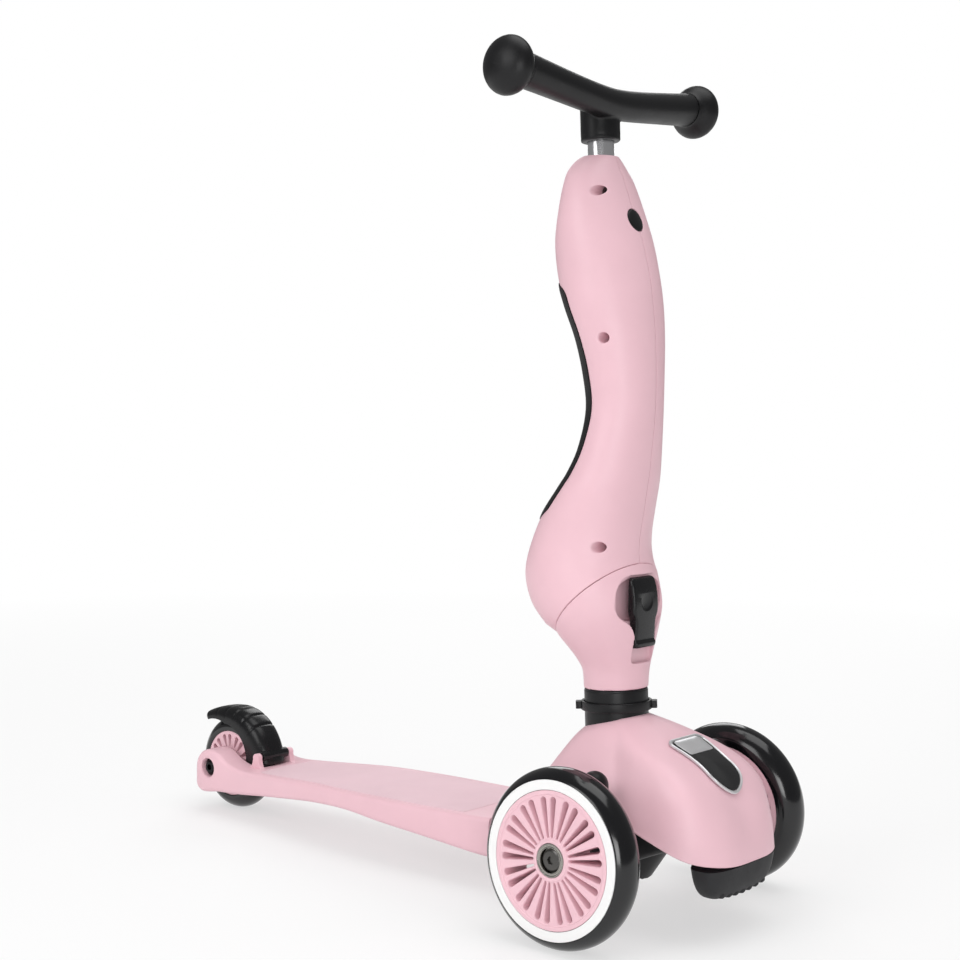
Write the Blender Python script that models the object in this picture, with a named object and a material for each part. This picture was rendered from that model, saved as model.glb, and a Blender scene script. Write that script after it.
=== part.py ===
"""Child's three-wheel lean-to-steer kick scooter with a column that folds into a seat.

Metres, +Z up. The scooter faces -Y and the rider's right side is -X. While the pieces are
being shaped, y = 0 is the front axle and z = 0 is the ground. The empty named scooter then
moves everything back, so that the origin ends in the middle of the footprint.
"""
import math

import bmesh
import bpy
from mathutils import Matrix, Vector

MM = 0.001
X = Vector((1.0, 0.0, 0.0))
Y = Vector((0.0, 1.0, 0.0))
Z = Vector((0.0, 0.0, 1.0))
SIDES = ((1, "left"), (-1, "right"))
SHARP_ANGLE = math.radians(35.0)
FACET_SAG = 0.25 * MM       # how far a round piece's facets may stand inside its true radius
FLAT = 0.001 * MM           # twist below which a four-sided face counts as flat
LONG = 200.0 * MM           # reach of a cutter that passes right through

# Clearances
GAP = 0.3 * MM              # between pieces that touch or seat
RUNNING = 0.3 * MM          # radial, round every shaft, pin and screw

# Front wheels
FRONT_R = 60.0 * MM
FRONT_HALF_W = 14.0 * MM    # half the tyre's width, and its crown radius
FRONT_CAMBER = math.radians(3.5)
FRONT_TRACK_HALF = 105.0 * MM
FRONT_HUB_R = 45.6 * MM
FRONT_SLOT_PAIRS = 13
SLOT_START_R = 14.7 * MM
SLOT_RIM = 4.3 * MM         # solid rim outside the slots
SLOT_INNER_HALF = 0.75 * MM
SLOT_OUTER_HALF = 2.2 * MM
SLOT_SPREAD = 0.433         # angle within a pair, as a share of a pair's pitch
TYRE_FLANK = 20.0           # degrees of the crown's half circle left off at the bead
TYRE_BEAD = 0.93            # width at the bead, as a share of the tyre's width
TYRE_STEPS = 7
TRIM_OUTER_R = 52.5 * MM
TRIM_T = 1.1 * MM

# Rear wheel
WHEELBASE = 440.6 * MM
REAR_R = 40.0 * MM
REAR_HALF_W = 12.0 * MM
REAR_HUB_R = 28.0 * MM
REAR_SLOT_PAIRS = 9
REAR_SLOT_RIM = 2.4 * MM
REAR_BEARING_OUT = 11.0 * MM    # outer face of each bearing, from the wheel's middle
REAR_BOLT_SEAT = 31.0 * MM      # seat of the bolt's head and nut, from the wheel's middle
REAR_HEAD_R = 6.0 * MM
REAR_HEAD_H = 4.0 * MM

# Wheel bearings and axles
BEARING_R = 11.0 * MM
BEARING_BORE_R = 4.0 * MM + RUNNING
BEARING_W = 7.0 * MM
AXLE_R = 4.0 * MM
BOSS_R = 6.5 * MM           # face that a bearing's inner ring runs against
SPACER_R = 6.2 * MM
SHOULDER_R = 9.5 * MM       # bore of a hub between its bearings
BEARING_RECESS = 0.1 * MM   # of the outer bearing behind the hub's face
INNER_BEARING_RECESS = 0.9 * MM
BEARING_CUP = 3.3 * MM      # how far its inner ring stands back
BEARING_CUP_R = 8.2 * MM
AXLE_HEAD_R = 7.6 * MM
AXLE_HEAD_H = 2.2 * MM
AXLE_HEAD_EDGE = 0.6        # height of its straight side, as a share of the head
AXLE_HEAD_FACE = 0.8        # radius of its flat face, as a share of the head
AXLE_BOLT_L = 40.0 * MM
HEX_SOCKET_R = 2.9 * MM
HEX_SOCKET_FLOOR = 0.3      # height of every hexagon socket's floor, as a share of its head

# Front truck, which turns on a leaning kingpin
KINGPIN_TILT = math.radians(35.0)
KINGPIN_FOOT = Vector((0.0, 2.0 * MM, 58.0 * MM))
KINGPIN_R = 4.0 * MM
BUSH_R = 13.8 * MM
BUSH_H = 9.2 * MM
POT_R = 19.0 * MM
POT_WEB = 12.0 * MM         # thickness of the web that both bushes press on
POT_DROP = 30.0 * MM        # from the web's middle to the pot's open foot
POT_CLEARING = 1.15         # radius cleared over the pot, as a share of the pot's
BUSH_PLAY = 0.7 * MM        # round a bush in its pot, for it to spread
WASHER_R = 11.0 * MM
WASHER_T = 1.7 * MM
KINGPIN_HEAD_R = 7.4 * MM
KINGPIN_HEAD_H = 5.5 * MM
KINGPIN_NUT_H = 6.5 * MM
KINGPIN_BOSS_R = 16.0 * MM
KINGPIN_BOSS_TOP = 46.0 * MM    # from the kingpin's foot to the face under its nut
KINGPIN_BOSS_RIM = 2.0 * MM     # height of the rim round that face
NUT_ROOM = 1.3              # radius cleared for the nut, as a share of its own
# Bridge stations out from the middle: x, front, back, underside, top
BRIDGE_STATIONS = (
    (10.0, -22.0, 20.0, 48.0, 74.0),
    (30.0, -20.0, 18.0, 48.0, 73.0),
    (60.0, -15.0, 14.0, 47.0, 68.0),
    (86.0, -10.0, 10.0, 50.0, 66.0),
)
BRIDGE_EDGE_R = 4.0 * MM
AXLE_BOSS_R = 13.0 * MM
AXLE_BOSS_L = 30.0 * MM
AXLE_BOSS_STEP = 2.2 * MM   # from the boss's end back to its full radius
TOWER_X = 73.0 * MM         # round upstands beside the wheels
TOWER_Y = -2.6 * MM
TOWER_R = 9.5 * MM
TOWER_TOP = 113.0 * MM

# Deck, as stations along it: share of the way from its front to the rear axle, half width,
# top, underside
DECK_FRONT = 113.0 * MM
DECK_STATIONS = (
    (0.0, 46.0, 55.3, 25.5),
    (0.05, 49.0, 54.8, 27.0),
    (0.19, 50.5, 53.2, 30.6),
    (0.33, 51.0, 52.3, 33.5),
    (0.45, 50.5, 51.2, 36.5),
    (0.57, 47.5, 50.0, 35.0),
    (0.69, 43.0, 47.3, 30.5),
    (0.785, 39.5, 45.0, 26.5),
    (0.87, 37.4, 43.7, 22.8),
)
# Rear arms: distance behind the rear axle, half width, height above the axle, depth below it
ARM_STATIONS = (
    (-24.6, 37.0, 7.0, 18.8),
    (-10.6, 37.0, 14.0, 19.8),
    (0.0, 37.0, 15.5, 21.5),
    (8.0, 36.5, 13.5, 22.3),
    (14.0, 35.5, 8.5, 21.0),
    (18.0, 33.5, 1.5, 18.5),
    (20.4, 30.0, -7.0, 14.5),
)
DECK_EDGE_R = 4.0 * MM
DECK_SKIN = 4.0 * MM
DECK_WALL = 4.0 * MM
DECK_RIB = 3.0 * MM
DECK_POCKET_ROWS = 4
DECK_POCKET_FRONT = 140.0 * MM
DECK_POCKET_END = 52.0 * MM     # from the last pocket to the rear axle
WELL_HALF_W = 16.5 * MM
WELL_GAP = 6.6 * MM         # between the rear tyre and the front wall of its well
RISER_HALF_W = 24.0 * MM
RISER_OUTLINE = ((125.0, 26.5), (60.0, 84.0), (66.0, 91.0), (101.0, 56.0), (125.0, 54.0))
PLATE_HALF_W = 22.0 * MM
PLATE_FRONT = -50.0 * MM
PLATE_BACK = 69.0 * MM
PLATE_EDGE_R = 3.0 * MM
PLATE_TOP = 97.0 * MM
PLATE_T = 10.5 * MM

# Hood over the truck, as profiles round the column's foot. Each gives its angle from straight
# ahead, then distance out and height of five points from shoulder to foot
HOOD_WALL = 2.4 * MM
HOOD_CENTRE_Y = 32.9 * MM
HOOD_NECK_R = 20.0 * MM     # inner end of the shaped skin, inside the collar's hole
HOOD_NECK_Z = 134.5 * MM
HOOD_NECK_TILT = math.radians(17.4)
HOOD_PROFILES = (
    (0.0, 57.5, 125.6, 88.7, 107.5, 103.5, 88.5, 113.5, 67.0, 117.0, 52.5),
    (15.0, 58.5, 126.0, 90.0, 109.5, 106.0, 91.5, 115.0, 70.0, 117.5, 53.0),
    (28.0, 57.0, 126.3, 85.0, 114.0, 101.0, 99.0, 106.5, 79.0, 109.0, 57.0),
    (40.0, 47.5, 129.0, 66.0, 119.0, 77.0, 103.5, 84.0, 86.0, 91.5, 68.0),
    (54.0, 33.0, 131.5, 45.0, 122.5, 54.0, 108.5, 63.0, 94.0, 73.0, 79.0),
    (90.0, 28.5, 129.0, 36.0, 119.0, 43.5, 107.0, 51.0, 95.0, 58.0, 83.5),
    (120.0, 29.0, 124.5, 38.5, 113.0, 46.0, 99.5, 54.0, 84.0, 62.0, 67.0),
    (150.0, 30.0, 118.5, 43.0, 101.5, 57.0, 84.0, 72.0, 69.5, 87.0, 60.0),
    (180.0, 32.0, 110.0, 46.0, 88.0, 60.0, 73.0, 76.0, 63.0, 90.0, 57.5),
)
HOOD_POINTS = 36
HOOD_STEPS = 7
BADGE_HALF_W = 20.0 * MM
BADGE_BACK = -23.0 * MM
BADGE_FRONT = -69.0 * MM
BADGE_T = 1.8 * MM
BADGE_LIFT = 0.7 * MM       # of its underside over the crown of the hood
BADGE_SQUARE = 0.35         # power that squares its rear corners
BADGE_POINTS = 20

# Bumper pad under the nose and its stem: height, half width, front, back
BUMPER_STATIONS = (
    (25.0, 26.0, -73.0, -60.0),
    (27.0, 31.0, -76.0, -57.0),
    (33.0, 36.0, -78.5, -55.0),
    (41.0, 40.0, -80.0, -54.0),
    (50.5, 42.0, -80.5, -53.0),
    (52.0, 34.0, -72.0, -51.0),
    (60.0, 22.0, -62.0, -47.0),
    (62.0, 16.0, -57.0, -41.0),
    (86.2, 16.0, -50.0, -39.5),
)
BUMPER_POINTS = 20
BUMPER_SQUARE = 0.6

# Column axis
RAKE = math.radians(3.06)
COLUMN_GROUND_Y = 25.2 * MM
POST_R = 16.0 * MM
POST_WALL = 2.5 * MM
POST_TOP = 192.0 * MM
POST_BOTTOM = 88.0 * MM
POST_FOOT_T = 12.0 * MM
COLUMN_BOSS_R = 21.0 * MM
COLUMN_BOSS_LOW = 80.0 * MM
COLUMN_BOLT_R = 4.0 * MM
COLUMN_HEAD_R = 5.5 * MM
COLUMN_HEAD_H = 4.5 * MM
COLLAR_R = 22.9 * MM
COLLAR_TOP = 156.2 * MM
COLLAR_SINK = 1.5 * MM      # depth of the collar's seat in the plate
CLIP_R = 25.6 * MM
CLIP_H = 6.5 * MM
CLIP_Z = 144.0 * MM
CLIP_LUG_ANGLE = math.radians(-146.0)   # from straight ahead
CLIP_TAB_ANGLE = math.radians(33.0)
CLIP_LUG_OUT = 3.5 * MM
CLIP_LUG_HALF_W = 4.0 * MM
CLIP_LUG_INSET = 0.6 * MM   # of a lug's faces from the ring's

# Neck, as stations: front y, front z, rear y, rear z, half width
NECK_STATIONS = (
    (10.6, 152.0, 56.4, 152.0, 22.9),
    (9.9, 170.0, 57.5, 167.5, 24.2),
    (8.1, 185.0, 60.5, 174.5, 29.0),
    (6.2, 202.0, 64.0, 180.0, 35.5),
    (5.6, 220.0, 67.8, 184.5, 41.5),
    (9.8, 235.0, 70.0, 187.2, 45.2),
)

# Joint face between neck and seat column
FOLD_CENTRE = Vector((0.0, 42.9 * MM, 218.4 * MM))
FOLD_TILT = math.radians(45.0)
FOLD_HALF_W = 47.1 * MM
FOLD_HALF_D = 40.7 * MM
FOLD_FLOOR = 4.5 * MM
PIVOT_R = 6.0 * MM
PIVOT_HEAD_R = 12.0 * MM
PIVOT_HEAD_H = 4.0 * MM
PIVOT_NUT_R = 9.6 * MM
PIVOT_NUT_H = 6.0 * MM
PIVOT_WASHER_T = 1.5 * MM
PIVOT_SPACE_R = 10.5 * MM   # hollow round the nut
PIVOT_SPACE_H = 12.0 * MM
NECK_HOLLOW_R = 12.0 * MM   # over the post, up to the nut's hollow
NECK_HOLLOW_H = 15.0 * MM

# Seat column, as stations from the fold face up: front y, front z, rear y, rear z, half width
COLUMN_STATIONS = (
    (14.8, 249.5, 83.0, 195.5, 48.0),
    (15.2, 254.5, 96.5, 209.5, 48.0),
    (15.0, 262.0, 104.5, 228.0, 46.5),
    (13.5, 273.0, 104.0, 246.0, 44.5),
    (10.8, 288.0, 92.5, 275.0, 42.3),
    (9.0, 300.0, 74.8, 300.0, 39.7),
    (7.3, 310.0, 67.9, 310.0, 37.2),
    (5.5, 328.0, 59.4, 328.0, 33.4),
    (3.2, 355.0, 54.6, 355.0, 29.4),
    (3.0, 380.0, 57.7, 380.0, 30.4),
    (4.1, 405.0, 63.9, 405.0, 34.0),
    (6.4, 428.0, 73.0, 428.0, 37.6),
    (9.9, 449.0, 80.0, 449.0, 38.6),
    (16.8, 474.7, 82.6, 474.7, 38.8),
    (27.0, 500.5, 78.8, 500.5, 36.0),
    (34.2, 518.0, 76.0, 518.0, 29.5),
    (38.3, 526.0, 73.6, 526.0, 23.4),
    (40.2, 532.5, 70.6, 532.5, 17.0),
    (41.3, 536.0, 67.6, 536.0, 13.2),
)
COLUMN_WALL = 3.0 * MM
HOLLOW_POINTS = 12
COLUMN_POINTS = 24
COLUMN_STEPS = 1            # steps from one station to the next
FLOOR_INSET = 1.3           # of the hollow's floor from the joint face's edge, in walls

# Seat pad on the rear of the column
PAD_SEAT_LOW = 262.0 * MM
PAD_SEAT_HIGH = 472.0 * MM
PAD_SEAT_HALF_W = 29.0 * MM
PAD_SEAT_T = 4.0 * MM
PAD_SEAT_PROUD = 0.3 * MM
PAD_SEAT_WRAP = math.radians(78.0)
PAD_SEAT_ROUND = 25.0 * MM  # radius of its round ends
PAD_SEAT_TIP = 0.3          # width of the first section, as a share of the full width
PAD_SEAT_BED = 0.6 * MM     # clearance round and under the pad
PAD_SEAT_STEPS = 14
PAD_SEAT_POINTS = 6

# Screws that close the column's two halves: y, z
COLUMN_SCREWS = ((27.6, 259.0), (25.6, 405.0), (38.0, 508.0))
SCREW_R = 1.9 * MM
SCREW_HEAD_R = 3.4 * MM
SCREW_HEAD_H = 2.6 * MM
SCREW_HEX_R = 1.7 * MM
SCREW_BOSS_R = 5.5 * MM
SCREW_SEAT_X = 12.0 * MM
SCREW_DEPTH = 9.0 * MM

# Handlebar
COLUMN_TOP = COLUMN_STATIONS[-1][1] * MM
TUBE_R = 9.5 * MM
TUBE_WALL = 1.5 * MM
TUBE_BOTTOM = 408.0 * MM
TUBE_OUT = 32.0 * MM        # of the tube above the column's top
TUBE_TOP = COLUMN_TOP + TUBE_OUT
GUIDE_WALL = 1.5 * MM
GUIDE_BOTTOM = TUBE_BOTTOM + 5.0 * MM
GUIDE_TOP = COLUMN_TOP - 6.0 * MM
GUIDE_SLEEVE = 3.2 * MM     # wall of the sleeve that holds the guide
SLEEVE_BOTTOM = TUBE_BOTTOM - 8.0 * MM
TUBE_FLOOR_GAP = 4.0 * MM
BAR_TRAVEL = 60.0 * MM
BAR_RISE = 4.0 * MM         # of the bar's middle over the tube's top
BAR_FORWARD = 10.3 * MM     # of the bar's middle before the column axis
BAR_HALF = 98.5 * MM        # to a grip's inner end, which lies back and up by the next two
BAR_SWEEP = 2.8 * MM
BAR_LIFT = 9.8 * MM
BAR_R = 11.0 * MM
BAR_END_R = 12.4 * MM
SOCKET_R = 14.2 * MM
SOCKET_OVER = 8.0 * MM      # of its top over the tube's top
SOCKET_DEPTH = 22.0 * MM    # of the tube in the socket
# Its rounded top, as shares of its radius: radius and drop from the top
SOCKET_DOME = ((1.0, 0.3), (0.9, 0.1), (0.6, 0.0))
BAR_BEND = 0.35             # softness of the bend in the middle
BAR_STEPS = 4
BAR_POINTS = 16
BAR_SCREW_DROP = 12.0 * MM  # from the tube's top
BAR_SCREW_R = 2.0 * MM
BAR_SCREW_HEAD_R = 3.6 * MM
BAR_SCREW_HEAD_H = 2.5 * MM
KNOB_R = 20.0 * MM
KNOB_T = 24.6 * MM
SPIGOT_R = 8.0 * MM
SPIGOT_L = 12.0 * MM

# Height button
BUTTON_Z = 487.0 * MM
BUTTON_R = 8.0 * MM
BUTTON_TRAVEL = 4.0 * MM
BUTTON_STEM_R = 3.5 * MM
BUTTON_CAP = 7.0 * MM
BUTTON_DOME = 1.5 * MM
# Its domed face, as shares of its radius and of the dome's height
BUTTON_DOME_SHAPE = ((1.0, 0.0), (0.85, 0.7), (0.5, 1.0))
BUTTON_WALL = 2.2 * MM
BUTTON_FLOOR = 15.5 * MM    # of its pocket, from the column axis
BUTTON_STEM_TIP = 7.5 * MM  # inner end of its stem, from the column axis
SLOT_PLAY = 0.8 * MM        # beside the stem in the tube's slot

# Fold latch, seen from the front: half width, height above ground
LATCH_OUTLINE = ((11.8, 188.0), (11.8, 206.0), (14.5, 213.0), (14.5, 234.5), (12.0, 237.5))
LATCH_POCKET = (
    (12.5, 176.5), (12.5, 197.0), (16.5, 204.5), (25.0, 209.0), (29.0, 216.0),
    (29.0, 227.0), (24.5, 235.5), (13.0, 239.0),
)
LATCH_FLOOR = 15.0 * MM     # y of the pocket's floor
LATCH_WINGS = (
    (12.5, 206.5), (16.0, 207.0), (24.0, 211.0), (27.0, 217.0), (27.0, 226.5), (23.0, 233.5),
    (12.5, 236.5),
)
LATCH_WING_FLOOR = 21.5 * MM
LATCH_T = 6.4 * MM
LATCH_LIP = 1.5 * MM
LATCH_LIP_H = 4.0 * MM
LATCH_LIP_ROUND = 1.2 * MM
LATCH_DISC_Z = 222.0 * MM
LATCH_DISC_R = 8.0 * MM
LATCH_DISC_H = 0.6 * MM
LATCH_TRAVEL = 8.0 * MM
LATCH_SPRING_X = 10.5 * MM
LATCH_SPRING_R = 2.1 * MM
LATCH_SPRING_BORE_R = 1.3 * MM
LATCH_SPRING_LOW = 207.0 * MM
LATCH_TAB_LOW = 227.0 * MM
LATCH_TAB_H = 3.5 * MM

# Rear brake
BRAKE_R = 49.5 * MM
BRAKE_T = 4.0 * MM
BRAKE_HALF_W = 15.2 * MM
BRAKE_SKIRT_T = 2.0 * MM
BRAKE_TAIL = math.radians(-46.0)
BRAKE_TOE = math.radians(80.0)
BRAKE_EDGE = 3.0 * MM       # slope between its top and its skirts
BRAKE_SKIRT_R = 35.0 * MM   # lower edge of the skirts over the axle, from the axle
BRAKE_TOE_SKIRT_R = 26.0 * MM
BRAKE_TAIL_SKIRT_R = 44.5 * MM
BRAKE_STEPS = 14
BRAKE_PIN_R = 2.0 * MM
BRAKE_PIN_ANGLE = math.radians(74.0)
BRAKE_PIN_ORBIT = 45.6 * MM
BRAKE_BARREL_R = 4.4 * MM
BRAKE_SPRING_R = 3.2 * MM
BRAKE_SPRING_HALF_W = 4.5 * MM
BRAKE_EAR_R = 4.6 * MM
BRAKE_EAR_T = 5.0 * MM
BRAKE_EAR_DROP = 12.0 * MM
BRAKE_PIN_REACH = 0.8       # of the pin into an ear, as a share of the ear's thickness

# Where things follow from the sizes above
FRONT_AXLE_Z = (FRONT_R - FRONT_HALF_W) * math.cos(FRONT_CAMBER) + FRONT_HALF_W
REAR_AXLE = Vector((0.0, WHEELBASE, REAR_R))
HOOD_NOSE_Y = HOOD_CENTRE_Y - HOOD_PROFILES[0][-2] * MM
FRONT_END = min(-FRONT_R, HOOD_NOSE_Y)
REAR_END = WHEELBASE + REAR_R
CENTRE_Y = (FRONT_END + REAR_END) / 2
COLUMN_UP = Vector((0.0, math.sin(RAKE), math.cos(RAKE)))
COLUMN_FRONT = Vector((0.0, -math.cos(RAKE), math.sin(RAKE)))
KINGPIN_UP = Vector((0.0, -math.sin(KINGPIN_TILT), math.cos(KINGPIN_TILT)))
FOLD_UP = Vector((0.0, math.sin(FOLD_TILT), math.cos(FOLD_TILT)))
FOLD_FRONT = Vector((0.0, -math.cos(FOLD_TILT), math.sin(FOLD_TILT)))
GUIDE_R = TUBE_R + RUNNING + GUIDE_WALL
BAR_Z = TUBE_TOP + BAR_RISE
BAR_CENTRE = Vector((0.0, COLUMN_GROUND_Y + BAR_Z * math.tan(RAKE) - BAR_FORWARD, BAR_Z))
BAR_END = BAR_CENTRE + Vector((BAR_HALF, BAR_SWEEP, BAR_LIFT))


def clear_scene():
    for item in list(bpy.data.objects):
        bpy.data.objects.remove(item, do_unlink=True)


def make_material(name, colour, roughness, metallic=0.0):
    finish = bpy.data.materials.new(name)
    finish.use_nodes = True
    shader = finish.node_tree.nodes["Principled BSDF"]
    shader.inputs["Base Color"].default_value = (*colour, 1.0)
    shader.inputs["Roughness"].default_value = roughness
    shader.inputs["Metallic"].default_value = metallic
    return finish


def add_empty(name, place, parent=None):
    """An empty at a place given in the shaping frame; it carries the pieces of one body."""
    node = bpy.data.objects.new(name, None)
    node.empty_display_size = 20 * MM
    node["place"] = tuple(place)
    node.location = place
    if parent:
        node.parent = parent
        node.location = place - Vector(parent["place"])
    bpy.context.scene.collection.objects.link(node)
    return node


def twist(face):
    """How far a four-sided face's last corner lies off the plane of its other three."""
    first, second, third, last = [corner.co for corner in face.verts]
    normal = (second - first).cross(third - first)
    return abs((last - first).dot(normal.normalized()))


def add_object(name, shapes, parent):
    """One mesh object made of closed shapes, each a list of corners and a list of faces."""
    origin = Vector(parent["place"])
    shell = bmesh.new()
    for corners, faces in shapes:
        made = [shell.verts.new(corner - origin) for corner in corners]
        for face in faces:
            shell.faces.new([made[index] for index in face])
    bmesh.ops.recalc_face_normals(shell, faces=shell.faces)
    twisted = [face for face in shell.faces if len(face.verts) == 4 and twist(face) > FLAT]
    bmesh.ops.triangulate(shell, faces=twisted, quad_method="FIXED")
    mesh = bpy.data.meshes.new(name)
    shell.to_mesh(mesh)
    shell.free()
    mesh.shade_smooth()
    mesh.set_sharp_from_angle(angle=SHARP_ANGLE)
    node = bpy.data.objects.new(name, mesh)
    node.parent = parent
    bpy.context.scene.collection.objects.link(node)
    return node


def add_piece(name, shape, finish, parent):
    piece = add_object(name, [shape], parent)
    piece.data.materials.append(finish)
    return piece


def add_helper(name, shapes, parent):
    """A shape that is only cut from or joined to pieces, and isn't a piece itself."""
    helper = add_object(name, shapes, parent)
    helper.hide_render = True
    helper.display_type = "WIRE"
    return helper


def apply_helper(piece, helper, operation, solver="EXACT"):
    step = piece.modifiers.new(helper.name, "BOOLEAN")
    step.operation = operation
    step.solver = solver
    step.object = helper


def cut(piece, name, *shapes, solver="EXACT"):
    helper = add_helper(f"{piece.name}.{name}", shapes, piece.parent)
    apply_helper(piece, helper, "DIFFERENCE", solver)


def join(piece, name, *shapes):
    helper = add_helper(f"{piece.name}.{name}", shapes, piece.parent)
    apply_helper(piece, helper, "UNION")


def across(direction):
    """Two unit vectors square to a direction and to each other."""
    start = Vector((1.0, 0.0, 0.0))
    if abs(direction.dot(start)) > 0.9:
        start = Vector((0.0, 1.0, 0.0))
    side = (start - direction * direction.dot(start)).normalized()
    return side, direction.cross(side)


def bridge(rings, wrap=False):
    """Corners and faces of rings joined one to the next. Ends are capped unless wrap is set."""
    count = len(rings[0])
    corners = [point for ring in rings for point in ring]
    faces = []
    steps = len(rings) if wrap else len(rings) - 1
    for step in range(steps):
        low = step * count
        high = (step + 1) % len(rings) * count
        for index in range(count):
            after = (index + 1) % count
            faces.append((low + index, low + after, high + after, high + index))
    if not wrap:
        faces.append(tuple(range(count)))
        faces.append(tuple(range(len(corners) - count, len(corners))))
    return corners, faces


def turned(profile, foot, up):
    """A shape turned about a line. The profile is (radius, height along up); where its first and
    last radius are nought it is a solid, and otherwise a ring."""
    side, other = across(up)
    solid = profile[0][0] == 0.0
    widest = max(radius for radius, height in profile)
    segments = max(8, 4 * math.ceil(math.pi / math.acos(1 - FACET_SAG / widest) / 4))
    rings = []
    for radius, height in profile:
        if radius == 0.0:
            continue
        ring = []
        for step in range(segments):
            angle = 2 * math.pi * step / segments
            spoke = side * math.cos(angle) + other * math.sin(angle)
            ring.append(foot + up * height + spoke * radius)
        rings.append(ring)
    return bridge(rings, wrap=not solid)


def cylinder(foot, up, radius, low, high):
    return turned([(0.0, low), (radius, low), (radius, high), (0.0, high)], foot, up)


def tube(foot, up, inner, outer, low, high):
    return turned([(inner, low), (outer, low), (outer, high), (inner, high)], foot, up)


def prism(outline, foot, side, other, low, high):
    """An outline in the side and other directions, stretched square to both from low to high."""
    out = side.cross(other)
    rings = []
    for height in (low, high):
        rings.append([foot + side * u + other * v + out * height for u, v in outline])
    return bridge(rings)


def hexagon(radius):
    return [(radius * math.cos(math.pi * n / 3), radius * math.sin(math.pi * n / 3))
            for n in range(6)]


def hex_prism(foot, up, radius, low, high):
    side, other = across(up)
    return prism(hexagon(radius), foot, side, other, low, high)


def box(low, high):
    """A box between two corners."""
    outline = [(low[0], low[1]), (high[0], low[1]), (high[0], high[1]), (low[0], high[1])]
    return prism(outline, Vector(), X, Y, low[2], high[2])


def side_prism(outline, half_width):
    """An outline in y and z, stretched across the scooter."""
    return prism(outline, Vector(), Y, Z, -half_width, half_width)


def arc(centre, radius, start, end, steps):
    """Points of an arc in a plane, angles in degrees."""
    points = []
    for step in range(steps + 1):
        angle = math.radians(start + (end - start) * step / steps)
        points.append((centre[0] + radius * math.cos(angle), centre[1] + radius * math.sin(angle)))
    return points


def smooth_value(before, start, end, after, share):
    """Catmull-Rom value between start and end."""
    slope_in = (end - before) / 2
    slope_out = (after - start) / 2
    square = share * share
    cube = square * share
    return (start * (2 * cube - 3 * square + 1) + slope_in * (cube - 2 * square + share)
            + end * (3 * square - 2 * cube) + slope_out * (cube - square))


def smooth_row(rows, place):
    """The row at a place between 0 and len(rows) - 1, on a smooth curve through the rows."""
    first = min(int(place), len(rows) - 2)
    share = place - first
    before = rows[max(first - 1, 0)]
    after = rows[min(first + 2, len(rows) - 1)]
    return [smooth_value(*values, share)
            for values in zip(before, rows[first], rows[first + 1], after)]


def smooth_rows(rows, steps):
    count = (len(rows) - 1) * steps
    return [smooth_row(rows, step / steps) for step in range(count + 1)]


def ease(share):
    share = min(max(share, 0.0), 1.0)
    return share * share * (3 - 2 * share)


def column_line(height):
    """The column axis at a height above the ground."""
    return Vector((0.0, COLUMN_GROUND_Y + height * math.tan(RAKE), height))


def along_column(height):
    """Distance along the column axis from the ground to a height."""
    return height / math.cos(RAKE)


def wheel_slots(centre, out, pairs, outer):
    """Tapered slots in pairs round a hub, as one set of cutters."""
    side, other = across(out)
    inner = SLOT_START_R
    shapes = []
    for pair in range(pairs):
        for sign in (-1, 1):
            angle = 2 * math.pi * (pair + sign * SLOT_SPREAD / 2) / pairs
            spoke = side * math.cos(angle) + other * math.sin(angle)
            flank = out.cross(spoke)
            outline = [(inner, -SLOT_INNER_HALF), (outer, -SLOT_OUTER_HALF),
                       (outer, SLOT_OUTER_HALF), (inner, SLOT_INNER_HALF)]
            shapes.append(prism(outline, centre, spoke, flank, -LONG, LONG))
    return shapes


def tyre_profile(radius, half_width, bore, recess_r=None, recess_floor=None):
    """A tyre's section. Its crown is an arc whose radius is half the tyre's width, and a recess
    for a trim ring can take the place of its outer bead."""
    centre = radius - half_width
    bead = half_width * TYRE_BEAD
    if recess_r:
        start = math.degrees(math.acos((recess_r - centre) / half_width))
        points = [(bore, recess_floor), (recess_r, recess_floor)]
    else:
        start = 90.0 - TYRE_FLANK
        points = [(bore, bead)]
    points += arc((centre, 0.0), half_width, start, TYRE_FLANK - 90.0, TYRE_STEPS)
    return points + [(bore, -bead)]


def front_face():
    """Distance of a front hub's faces from the wheel's middle, level with the tyre's shoulder."""
    return math.sqrt(FRONT_HALF_W ** 2 - (TRIM_OUTER_R - FRONT_R + FRONT_HALF_W) ** 2)


def front_centre(sign):
    return Vector((sign * FRONT_TRACK_HALF, 0.0, FRONT_AXLE_Z))


def front_axle_out(sign):
    return Vector((sign * math.cos(FRONT_CAMBER), 0.0, math.sin(FRONT_CAMBER)))


def front_bolt_head():
    """Inner face of a front axle bolt's head, from the wheel's middle."""
    return front_face() - BEARING_RECESS - BEARING_CUP + GAP


def front_boss_face():
    """Outer face of a front axle boss, from the wheel's middle; it lies inwards."""
    return INNER_BEARING_RECESS - front_face() - GAP


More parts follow.
